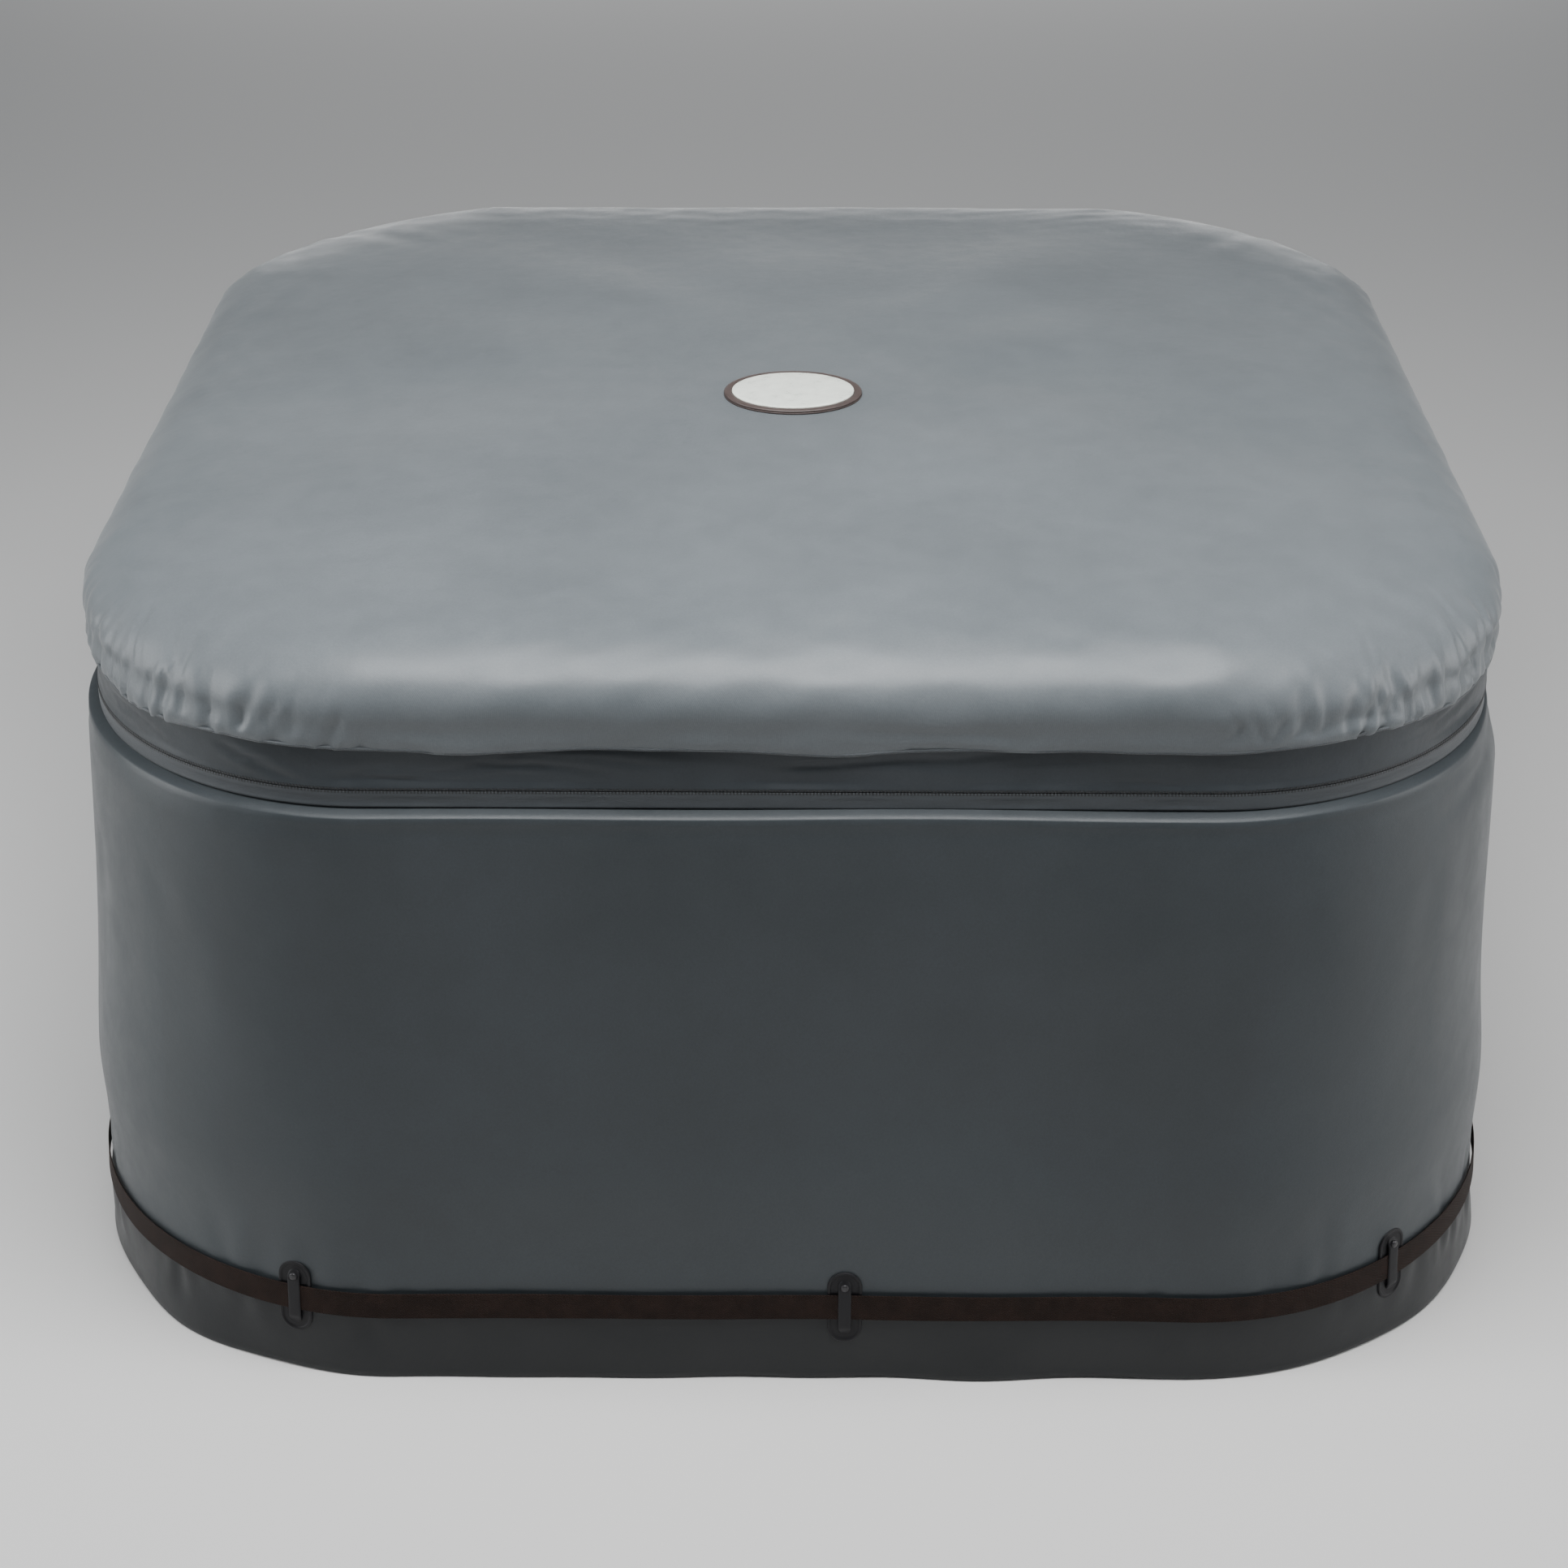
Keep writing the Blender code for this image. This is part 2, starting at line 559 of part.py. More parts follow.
def belt_spot(distance):
    """Place on the belt line at a distance from the middle of the front, rightwards.

    Its own +y points outwards. On a corner it is the middle of the nearest flat.
    """
    points = [Vector(p) for p in square_ring(jacket_half(BELT_MIDDLE), BELT_MIDDLE)]
    front = 4 * (CORNER_STEPS + 1) - (CORNER_STEPS + 1)
    count = len(points)
    walked = -(points[front] - points[front - 1]).length / 2
    total = sum((points[i] - points[i - 1]).length for i in range(count))
    distance = (distance - walked) % total + walked
    for step in range(count):
        start, end = points[(front - 1 + step) % count], points[(front + step) % count]
        length = (end - start).length
        if walked + length >= distance:
            break
        walked += length
    along = (end - start).normalized()
    if length > 3 * LOOP_LENGTH:
        spot = start + along * min(max(distance - walked, LOOP_WIDTH), length - LOOP_WIDTH)
    else:
        spot = (start + end) / 2
    turn = math.atan2(along.y, along.x) + math.pi
    lean = Matrix.Rotation(FLARE_ANGLE, 4, "X")
    return Matrix.Translation(spot) @ Matrix.Rotation(turn, 4, "Z") @ lean


def build_belt(finishes):
    """Belt, its keeper loops and the buckle at the rear."""
    inner = GAP + LOOP_PLATE + 2 * GAP
    outer = inner + BELT_THICK
    low, high = BELT_MIDDLE - BELT_HEIGHT / 2, BELT_MIDDLE + BELT_HEIGHT / 2
    belt = ring_piece("belt", [(jacket_half(low) + outer, low), (jacket_half(high) + outer, high),
                               (jacket_half(high) + inner, high), (jacket_half(low) + inner, low)],
                      finishes["belt"])
    rear = jacket_half(BELT_MIDDLE)
    opening = block((BELT_END_LEFT, rear - 0.02, low - 0.02), (BELT_END_RIGHT, rear + 0.03, high + 0.02))
    combine(belt, tool("cut_belt", opening), "DIFFERENCE")

    loop_mesh = keeper_mesh(outer, finishes["loop"])
    perimeter = 8 * corner_centre(rear) + 2 * math.pi * (rear - corner_centre(rear))
    for index in range(LOOP_COUNT):
        distance = LOOP_START + perimeter * LOOP_SPREAD * (index - LOOP_COUNT // 2) / LOOP_COUNT
        link(f"belt_loop_{index + 1:02d}", loop_mesh, belt_spot(distance))
    build_buckle(finishes, inner, outer)


def keeper_mesh(belt_outer, finish):
    """One keeper: a plate behind the belt and a strip in front of it, riveted at both ends."""
    strip_near = belt_outer + 2 * GAP
    strip_far = strip_near + LOOP_PLATE
    half_strip = LOOP_STRIP_WIDTH / 2
    half_post = half_strip * POST_SHARE
    # The outline's plane is turned so that it stands up and is pushed outwards.
    stand = Matrix.Rotation(math.radians(90), 4, "X")
    plate_place = Matrix.Translation((0, GAP + LOOP_PLATE / 2, 0)) @ stand
    plate = make("keeper_plate", extruded(stadium(LOOP_WIDTH, LOOP_LENGTH), LOOP_PLATE), finish, plate_place)
    parts = []
    strip_place = Matrix.Translation((0, strip_near + LOOP_PLATE / 2, 0)) @ stand
    parts.append(tool("keeper_strip", extruded(stadium(LOOP_STRIP_WIDTH, LOOP_STRIP_LENGTH), LOOP_PLATE),
                      strip_place))
    for side in (-1, 1):
        ends = (side * (BELT_HEIGHT / 2 + POST_EASE), side * (LOOP_STRIP_LENGTH / 2 - half_post))
        parts.append(tool(f"keeper_post_{side + 2}", block(
            (-half_post, GAP + LOOP_PLATE / 2, min(ends)),
            (half_post, strip_near + LOOP_PLATE / 2, max(ends)))))
    rivet = turned([(0, 0), (RIVET_RADIUS, 0), (RIVET_RADIUS, RIVET_PROUD - strip_near),
                    (0, RIVET_PROUD - strip_near)], closed=False)
    at = Matrix.Translation((0, strip_near + LOOP_PLATE / 2, LOOP_STRIP_LENGTH / 2 - half_strip))
    parts.append(tool("keeper_rivet", rivet, at @ Matrix.Rotation(math.radians(-90), 4, "X")))
    for other in parts:
        combine(plate, other, "UNION")
    bpy.context.view_layer.update()
    shape = plate.evaluated_get(bpy.context.evaluated_depsgraph_get())
    mesh = bpy.data.meshes.new_from_object(shape)
    mesh.transform(plate_place)
    mesh.name = "belt_loop"
    for other in parts + [plate]:
        bpy.data.objects.remove(other)
    return mesh


def build_buckle(finishes, inner, outer):
    """Side-release buckle; the socket keeps one end of the belt, the prong slides out."""
    rear = jacket_half(BELT_MIDDLE)
    place = Matrix.Translation((0, rear, BELT_MIDDLE)) @ Matrix.Rotation(FLARE_ANGLE, 4, "X")
    half = BUCKLE_HEIGHT / 2
    slot_low, slot_high = inner - 2 * GAP, outer + 2 * GAP
    strap = BELT_HEIGHT / 2 + 2 * GAP
    tongue_low, tongue_high = slot_high + 0.0009, BUCKLE_DEPTH - 0.0012
    tongue_half = BELT_HEIGHT / 2 - 0.0025
    wall = 0.004

    socket = make("buckle_female", block((-BUCKLE_HALF, GAP, -half), (-GAP, BUCKLE_DEPTH, half)),
                  finishes["buckle"], place)
    for name, low, high in (
            ("strap", (-BUCKLE_HALF - wall, slot_low, -strap), (-BUCKLE_MOUTH / 2, slot_high, strap)),
            ("mouth", (-BUCKLE_MOUTH, tongue_low - 2 * GAP, -tongue_half - 2 * GAP),
             (wall, tongue_high + 2 * GAP, tongue_half + 2 * GAP))):
        combine(socket, tool(f"cut_socket_{name}", block(low, high), place), "DIFFERENCE")

    prong = make("buckle_male", block((GAP, GAP, -half), (BUCKLE_HALF, BUCKLE_DEPTH, half)),
                 finishes["buckle"], place)
    tongue = block((3 * GAP - BUCKLE_MOUTH, tongue_low, -tongue_half), (wall, tongue_high, tongue_half))
    combine(prong, tool("prong_tongue", tongue, place), "UNION")
    through = block((-wall, slot_low, -strap), (BUCKLE_HALF + wall, slot_high, strap))
    combine(prong, tool("cut_prong_strap", through, place), "DIFFERENCE")


def build_slider(finishes):
    """Zip slider round both tapes' edges, and its hanging pull."""
    plate_in = TAPE_HALF + GAP
    plate_out = plate_in + SLIDER_PLATE
    back_out = TAPE_HALF - TAPE_CLOTH - 2 * GAP
    back_in = back_out - SLIDER_BACK
    post = ZIP_GAP / 2 - GAP
    half = SLIDER_HEIGHT / 2
    outline = [(plate_out, -half), (plate_out, half), (plate_in, half), (plate_in, post),
               (back_out, post), (back_out, half), (back_in, half), (back_in, -half),
               (back_out, -half), (back_out, -post), (plate_in, -post), (plate_in, -half)]
    lie = Matrix.Rotation(math.radians(90), 4, "X")
    place = Matrix.Translation((0, SLIDER_PARK, ZIP_Z)) @ lie
    slider = make("zipper_slider", extruded(outline, SLIDER_LENGTH), finishes["metal"], place)

    axis_x = JACKET_TOP + PULL_THICK + 2 * GAP
    axis_z = ZIP_Z + LUG_RISE
    for side in (-1, 1):
        inner = PULL_WIDTH / 2 + LUG_EASE
        low, high = sorted((side * inner, side * (inner + LUG_WIDTH)))
        lug = block((plate_out - SLIDER_PLATE / 3, SLIDER_PARK + low, axis_z - LUG_HALF),
                    (axis_x + PULL_THICK / 2, SLIDER_PARK + high, axis_z + LUG_HALF))
        combine(slider, tool(f"slider_lug_{side + 2}", lug), "UNION")

    tab = extruded(stadium(PULL_WIDTH, PULL_LENGTH), PULL_THICK)
    bmesh.ops.translate(tab, vec=(0, PULL_HEAD - PULL_LENGTH / 2, 0), verts=tab.verts)
    stand = Matrix.Rotation(math.radians(90), 4, "Z") @ Matrix.Rotation(math.radians(90), 4, "X")
    hang = Matrix.Translation((axis_x, SLIDER_PARK, axis_z)) @ stand
    make("zipper_pull", tab, finishes["metal"], hang)


def main():
    """Build every piece."""
    for old in list(bpy.data.objects):
        bpy.data.objects.remove(old)
    finishes = {
        "guide": material("guide", (0.5, 0.5, 0.5), 0.5),
        "mat": material("ground_cloth", (0.06, 0.065, 0.07), 0.85),
        "skin": material("wall_skin", (0.13, 0.14, 0.15), 0.5),
        "liner": material("liner", (0.62, 0.66, 0.68), 0.45),
        "channel": material("bubble_channel", (0.42, 0.47, 0.50), 0.45),
        "web": material("wall_web", (0.35, 0.36, 0.37), 0.6),
        "fitting": material("fitting", (0.05, 0.05, 0.055), 0.4),
        "seal": material("gasket", (0.02, 0.02, 0.02), 0.8),
        "cap": material("cap", (0.30, 0.31, 0.32), 0.4),
        "jacket": material("jacket_cloth", (0.075, 0.090, 0.100), 0.6),
        "lid": material("lid_cloth", (0.19, 0.205, 0.215), 0.55),
        "underside": material("lid_underside", (0.45, 0.47, 0.48), 0.35),
        "bladder": material("bladder_film", (0.30, 0.33, 0.36), 0.4),
        "tape": material("zip_tape", (0.020, 0.024, 0.028), 0.7),
        "belt": material("belt_webbing", (0.030, 0.020, 0.017), 0.7),
        "loop": material("keeper", (0.015, 0.014, 0.015), 0.55),
        "buckle": material("buckle", (0.02, 0.02, 0.022), 0.45),
        "badge": material("badge_rim", (0.075, 0.055, 0.050), 0.4),
        "badge_face": material("badge_face", (0.70, 0.73, 0.66), 0.4),
        "metal": material("zip_metal", (0.45, 0.45, 0.46), 0.35, 1.0),
    }
    outer, inner = build_tub(finishes)
    drill_walls(outer, inner)
    build_ports(finishes)
    build_drain_and_valve(finishes)
    build_jacket(finishes)
    build_belt(finishes)
    build_slider(finishes)
    hinge = pivot("lid_hinge_axis", Matrix.Translation((0, HINGE_Y, ZIP_Z)))
    build_lid(finishes, hinge)


main()
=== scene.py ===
"""Looks of the covered square hot tub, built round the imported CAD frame.

Every cloth piece is a grid swept round the tub from a side contour. A place on a grid is (s, t): s is
metres round the tub from the middle of the rear, anticlockwise from above, and t is metres up the
contour from its lower edge.
"""

import logging
import math
from dataclasses import dataclass, field
from enum import Enum
from typing import Callable, Iterable, Sequence

import bpy
import numpy as np
from bpy.types import Material, Node, Object
from bpy.types import NodeSocket as Socket
from bpy.types import NodeTree as Tree
from mathutils import Matrix, Vector


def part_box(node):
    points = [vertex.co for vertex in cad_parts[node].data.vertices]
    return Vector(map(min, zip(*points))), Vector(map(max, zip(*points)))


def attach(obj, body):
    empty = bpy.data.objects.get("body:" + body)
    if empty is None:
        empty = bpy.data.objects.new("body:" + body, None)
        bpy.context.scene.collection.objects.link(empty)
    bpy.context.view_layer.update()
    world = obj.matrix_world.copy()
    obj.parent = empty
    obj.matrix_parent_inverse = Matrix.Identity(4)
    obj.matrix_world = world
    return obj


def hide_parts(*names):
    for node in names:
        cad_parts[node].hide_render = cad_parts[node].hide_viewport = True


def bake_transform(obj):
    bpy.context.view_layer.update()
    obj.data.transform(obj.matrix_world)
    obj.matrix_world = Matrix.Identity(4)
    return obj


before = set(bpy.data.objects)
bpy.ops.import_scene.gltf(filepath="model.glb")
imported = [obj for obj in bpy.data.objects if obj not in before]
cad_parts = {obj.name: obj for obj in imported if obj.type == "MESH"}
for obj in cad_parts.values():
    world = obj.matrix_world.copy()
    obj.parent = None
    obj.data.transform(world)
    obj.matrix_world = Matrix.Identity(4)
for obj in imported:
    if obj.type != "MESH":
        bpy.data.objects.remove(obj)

LOG = logging.getLogger("hot_tub")
Array = np.ndarray
Materials = dict[str, Material]


class Body(str, Enum):
    """CAD bodies that pieces ride on."""

    TUB = "tub"
    LID = "lid"
    SLIDER = "zipper_slider"
    PULL = "zipper_pull"
    PRONG = "buckle_male"


@dataclass(frozen=True)
class Sizes:
    """Sizes shared with the CAD source, in metres."""

    tub_half: float = 0.855
    straight: float = 0.490
    inner_half: float = 0.700
    tub_height: float = 0.760
    wall_base: float = 0.0146
    floor_base: float = 0.0063
    floor_thick: float = 0.008
    film: float = 0.002
    base_fold: float = 0.040
    rim_fold: float = 0.070
    web_offset: float = 0.250
    channel_width: float = 0.038
    channel_height: float = 0.030
    shoulder: float = 0.780
    shoulder_roll: float = 0.008
    jacket_top: float = 0.870
    jacket_hem: float = 0.925
    hem_lift: float = 0.0015
    cloth: float = 0.003
    zip_z: float = 0.802
    zip_gap: float = 0.0015
    tape_half: float = 0.866
    tape_cloth: float = 0.002
    lid_hem: float = 0.855
    lid_half: float = 0.874
    bulge: float = 0.873
    crown_run: float = 0.182
    crown_rise: float = 0.108
    dome: float = 0.027
    tray_half: float = 0.860
    tray_base: float = 0.761
    tray_cloth: float = 0.002
    belt_middle: float = 0.107
    belt_height: float = 0.035
    belt_thick: float = 0.0016
    keeper_plate: float = 0.0018
    keeper_width: float = 0.043
    keeper_length: float = 0.100
    strip_width: float = 0.016
    strip_length: float = 0.078
    hinge_half: float = 0.400
    hinge_y: float = 0.8795
    gap: float = 0.0003

    @property
    def flare(self) -> float:
        """How far the jacket spreads per metre of drop."""
        return (self.jacket_hem - self.jacket_top) / (self.roll_z - self.hem_lift)

    @property
    def roll_z(self) -> float:
        """Height of the middle of the shoulder's fold."""
        return self.shoulder - self.shoulder_roll

    def jacket_at(self, height: float | Array) -> float | Array:
        """Half-width of the jacket's outside at a height below the shoulder."""
        return self.jacket_hem - self.flare * (height - self.hem_lift)


SIZE = Sizes()

# Rings narrower than this share of the tub keep their proportions, so that their corners stay round.
FULL_CORNER = 0.955


def smooth(low: float, high: float, value: Array) -> Array:
    """Ease from 0 at low to 1 at high.

    Args:
        low: Where the ease starts.
        high: Where it ends; it may be below low.
        value: Where to find it.

    Returns:
        3x^2 - 2x^3, with x the share of the way from low to high.
    """
    share = np.clip((np.asarray(value, float) - low) / (high - low), 0.0, 1.0)
    return share * share * (3.0 - 2.0 * share)


Span = float | tuple[float, float]


def draw(rng: np.random.Generator, span: Span) -> float:
    """A value drawn from a (low, high) span; a plain number is given back and nothing is drawn."""
    return rng.uniform(*span) if isinstance(span, tuple) else span


def ripple(s: Array, t: Array, wave: Sequence[float], seed: int, count: int = 7) -> Array:
    """Soft irregular waves from -1 to 1 or so.

    Args:
        s: Metres along the first direction.
        t: Metres along the second direction.
        wave: Typical wavelengths along s and t.
        seed: Picks the waves.
        count: How many waves are added up.

    Returns:
        The sum of cosines with random phases and wave numbers, over the root of half their count. The
        wave numbers along s are whole turns of the ring, so nothing jumps where s starts again.
    """
    rng = np.random.default_rng(seed)
    total = np.zeros(np.broadcast(s, t).shape)
    for _ in range(count):
        turn, reach, phase = rng.uniform((0, 0.6, 0), (2 * math.pi, 1.3, 2 * math.pi))
        whole = round(reach * math.cos(turn) * RING.around / wave[0])
        turns = whole * s / RING.around + reach * math.sin(turn) * t / wave[1]
        total += np.cos(2 * math.pi * turns + phase)
    return total / math.sqrt(count / 2)


@dataclass(frozen=True)
class Crease:
    """One fold of cloth on an (s, t) surface.

    Attributes:
        start: Where the fold is deepest, metres.
        turn: Its direction, radians from the s axis.
        length: How far it runs before it fades out, metres.
        width: Half-width of its valley at the start, metres.
        depth: Depth at the start, metres; negative makes a ridge.
        bend: Sideways drift per metre squared.
        spread: How much wider the valley gets along its length, as a share.
    """

    start: tuple[float, float]
    turn: float
    length: float
    width: float
    depth: float
    bend: float = 0.0
    spread: float = 1.2

    def height(self, s: Array, t: Array, around: float) -> Array:
        """Displacement along the outward normal.

        Args:
            s: Metres round the tub.
            t: Metres up the contour.
            around: Length of the ring, so that a fold may cross the place where s starts again.

        Returns:
            Depth times a valley with a low ridge on both sides, fading along the fold.
        """
        ds = (s - self.start[0] + around / 2) % around - around / 2
        dt = t - self.start[1]
        along = ds * math.cos(self.turn) + dt * math.sin(self.turn)
        across = -ds * math.sin(self.turn) + dt * math.cos(self.turn) - self.bend * along ** 2
        share = along / self.length
        wide = self.width * (1.0 + self.spread * np.clip(share, 0, 1))
        fade = smooth(-0.12, 0.02, share) * (1.0 - smooth(0.25, 1.0, share))
        x = across / wide
        side = np.exp(-(x - 1.7) ** 2) + np.exp(-(x + 1.7) ** 2)
        return self.depth * fade * (0.42 * side - np.exp(-x ** 2))


@dataclass(frozen=True)
class Folds:
    """A batch of creases. A pair is a span that each crease draws its value from.

    Attributes:
        count: How many.
        s: Metres round, from the batch's middle.
        t: Metres up the contour.
        lean: Radians away from the batch's direction.
        length: As in Crease, and so on.
    """

    count: int
    s: Span
    t: Span
    lean: Span
    length: Span
    width: Span
    depth: Span
    bend: Span = 0.0
    spread: Span = 1.2

    def drawn(self, rng: np.random.Generator, middle: float = 0.0, turn: float = 0.0) -> list[Crease]:
        """The creases.

        Args:
            rng: Where their values come from.
            middle: Metres round to the batch's middle.
            turn: The batch's direction, radians from the s axis.

        Returns:
            As many creases as the batch counts.
        """
        return [Crease((middle + draw(rng, self.s), draw(rng, self.t)), turn + draw(rng, self.lean),
                       draw(rng, self.length), draw(rng, self.width), draw(rng, self.depth),
                       draw(rng, self.bend), draw(rng, self.spread)) for _ in range(self.count)]


class Ring:
    """Columns of every swept grid: where they stand on a square with round corners."""

    def __init__(self, straight_steps: int = 56, corner_steps: int = 104) -> None:
        """Lay out the columns.

        Args:
            straight_steps: Columns along each straight side.
            corner_steps: Columns round each corner.
        """
        anchors, normals, corner = [], [], []
        half_side = straight_steps // 2
        for side in range(4):
            turn = math.pi / 2 * (side + 1)
            along = np.array([math.cos(turn + math.pi / 2), math.sin(turn + math.pi / 2)])
            out = np.array([math.cos(turn), math.sin(turn)])
            first = np.linspace(0, 1, half_side, endpoint=False)
            second = np.linspace(-1, 0, half_side, endpoint=False)
            steps = np.linspace(0, 1, corner_steps, endpoint=False)
            anchors.append(out + np.outer(first, along))
            normals.append(np.repeat(out[None], len(first), 0))
            corner.append(np.zeros(len(first)))
            turns = turn + steps * math.pi / 2
            anchors.append(np.repeat((out + along)[None], corner_steps, 0))
            normals.append(np.stack([np.cos(turns), np.sin(turns)], 1))
            corner.append(np.sin(math.pi * steps))
            anchors.append(along + np.outer(-second, out))
            normals.append(np.repeat(along[None], len(second), 0))
            corner.append(np.zeros(len(second)))
        self.anchors = np.concatenate(anchors)
        self.normals = np.concatenate(normals)
        self.corner = np.concatenate(corner)
        reference = self.at(SIZE.jacket_top)
        steps = np.linalg.norm(np.roll(reference, -1, 0) - reference, axis=1)
        self.s = np.concatenate([[0.0], np.cumsum(steps)])
        self.around = float(self.s[-1])

    def at(self, half: float) -> Array:
        """Points of the ring with a half-width, as (columns, 2)."""
        centre = SIZE.straight * min(1.0, half / (FULL_CORNER * SIZE.tub_half))
        return centre * self.anchors + (half - centre) * self.normals

    def corner_places(self) -> list[float]:
        """Metres round to the middle of each corner, in the order of Corner."""
        quarter = self.around / 4
        return [quarter * (index + 0.5) for index in range(4)]

    def sweep(self, contour: Array) -> Array:
        """Grid of points (rows, columns, 3) for a contour of (half, height) rows."""
        rows = [np.column_stack([self.at(half), np.full(len(self.anchors), z)]) for half, z in contour]
        return np.stack(rows)

    def outward(self, contour: Array) -> Array:
        """Unit normals of that grid, to the right of the contour's direction.

        Args:
            contour: Rows of (half, height).

        Returns:
            (rows, columns, 3): the contour's slope, turned right and laid along the ring's normals.
        """
        slope = np.gradient(contour, axis=0)
        slope /= np.maximum(np.linalg.norm(slope, axis=1, keepdims=True), 1e-9)
        level = slope[:, 1][:, None, None] * self.normals[None]
        return np.concatenate([level, np.broadcast_to(-slope[:, 0][:, None, None],
                                                      (*level.shape[:2], 1))], 2)


RING = Ring()


def lengths(contour: Array) -> Array:
    """Metres along a contour at each of its rows."""
    return np.concatenate([[0.0], np.cumsum(np.linalg.norm(np.diff(contour, axis=0), axis=1))])


def resample(contour: Sequence[Sequence[float]], rows: int | Array) -> Array:
    """A contour again, at evenly spaced rows or at given shares of its length.

    Args:
        contour: Rows of (half, height).
        rows: How many evenly spaced rows, or the shares of its length.

    Returns:
        The new rows, on the straight lines between the old ones.
    """
    points = np.array(contour, float)
    along = lengths(points)
    marks = np.linspace(0, along[-1], rows) if isinstance(rows, int) else along[-1] * rows
    return np.stack([np.interp(marks, along, points[:, axis]) for axis in (0, 1)], 1)


def bow(middle: Sequence[float], radii: Sequence[float], start: float, end: float, steps: int) -> list:
    """Points on an ellipse's arc, angles in degrees."""
    turns = np.radians(np.linspace(start, end, steps))
    return list(zip(middle[0] + radii[0] * np.cos(turns), middle[1] + radii[1] * np.sin(turns)))


@dataclass
class Shape:
    """Geometry of one piece, gathered from grids, plates and turned parts."""

    points: list = field(default_factory=list)
    faces: list = field(default_factory=list)
    marks: list = field(default_factory=list)
    slots: list = field(default_factory=list)
    count: int = 0

    def grid(self, points: Array, uv: tuple[Array, Array] | None = None, around: bool = True,
             closed: bool = False, caps: str = "", slot: int = 0) -> "Shape":
        """Add a grid of quads.

        Args:
            points: (rows, columns, 3).
            uv: Values along the columns (one more than them if around) and along the rows.
            around: Join the last column to the first.
            closed: Join the last row to the first.
            caps: "start", "end" or both words: fill that end with a fan.
            slot: Material index.

        Returns:
            The shape itself.
        """
        rows, columns = points.shape[:2]
        wide = columns if around else columns - 1
        high = rows if closed else rows - 1
        u = uv[0] if uv else np.linspace(0, 1, wide + 1)
        v = uv[1] if uv else np.linspace(0, 1, rows)
        v = np.append(v, 2 * v[-1] - v[-2]) if closed else v
        j, i = np.meshgrid(np.arange(high), np.arange(wide), indexing="ij")
        i2, j2 = (i + 1) % columns, (j + 1) % rows
        quads = np.stack([j * columns + i, j * columns + i2, j2 * columns + i2, j2 * columns + i], -1)
        places = np.stack([np.stack([u[i], v[j]], -1), np.stack([u[i + 1], v[j]], -1),
                           np.stack([u[i + 1], v[j + 1]], -1), np.stack([u[i], v[j + 1]], -1)], -2)
        self.take(points.reshape(-1, 3), quads.reshape(-1, 4), places.reshape(-1, 2), slot)
        for end, row in (("start", 0), ("end", rows - 1)):
            if end in caps:
                self._fan(points[row], (u, v[row]), end == "start", slot)
        return self

    def _fan(self, row: Array, uv: tuple[Array, float], under: bool, slot: int) -> None:
        """Fill a row with triangles to its middle.

        Args:
            row: Points of the row.
            uv: Values along the row, and the one value across it.
            under: The fan faces down the sweep, not up.
            slot: Material index.
        """
        count = len(row)
        i = np.arange(count)
        i2 = (i + 1) % count
        tip = np.full(count, count)
        triangles = np.stack([i2, i, tip] if under else [i, i2, tip], -1)
        mark = np.stack([uv[0][:count], np.full(count, uv[1])], -1)
        places = np.repeat(mark, 3, 0)
        self.take(np.vstack([row, row.mean(0)]), triangles, places, slot)

    def take(self, points: Array, faces: Array, places: Array, slot: int = 0) -> None:
        """Add points and faces as they are.

        Args:
            points: (n, 3).
            faces: Indices into those points, one row for each face.
            places: Values (corners, 2) of the place layer, face after face.
            slot: Material index.
        """
        self.faces.append(faces + self.count)
        self.points.append(points)
        self.marks.append(places)
        self.slots.append(np.full(len(faces), slot))
        self.count += len(points)

    def plate(self, outline: tuple[Array, Array], levels: Sequence[Sequence[float]],
              place: Matrix | None = None, slot: int = 0) -> "Shape":
        """Add a plate: an outline repeated at levels of (inset, height), from its underside up.

        Args:
            outline: Points (n, 2), anticlockwise, and their outward normals.
            levels: How far in and how high each copy is.
            place: Where it goes.
            slot: Material index.

        Returns:
            The shape itself.
        """
        points, normals = outline
        rows = np.stack([np.column_stack([points - inset * normals, np.full(len(points), height)])
                         for inset, height in levels])
        return self.grid(moved(rows, place), caps="start end", slot=slot)

    def turned(self, profile: Sequence[Sequence[float]], place: Matrix | None = None, steps: int = 48,
               flutes: tuple[int, float, Callable] | None = None, slot: int = 0) -> "Shape":
        """Add a body turned about z from a closed or end-to-end profile of (radius, height).

        Args:
            profile: Rows from the underside up the outside; a closed one ends where it starts.
            place: Where it goes.
            steps: Columns round it.
            flutes: Count, depth and a mask of the rows that are fluted.
            slot: Material index.

        Returns:
            The shape itself.
        """
        rows = np.array(profile, float)
        turns = np.linspace(0, 2 * math.pi, steps, endpoint=False)
        radius = np.repeat(rows[:, :1], steps, 1)
        if flutes:
            count, depth, mask = flutes
            radius -= depth * (0.5 - 0.5 * np.cos(count * turns))[None] * mask(rows)[:, None]
        points = np.stack([radius * np.cos(turns), radius * np.sin(turns),
                           np.repeat(rows[:, 1:], steps, 1)], -1)
        closed = bool(np.allclose(rows[0], rows[-1]))
        if closed:
            return self.grid(moved(points[:-1], place), closed=True, slot=slot)
        return self.grid(moved(points, place), caps="start end", slot=slot)

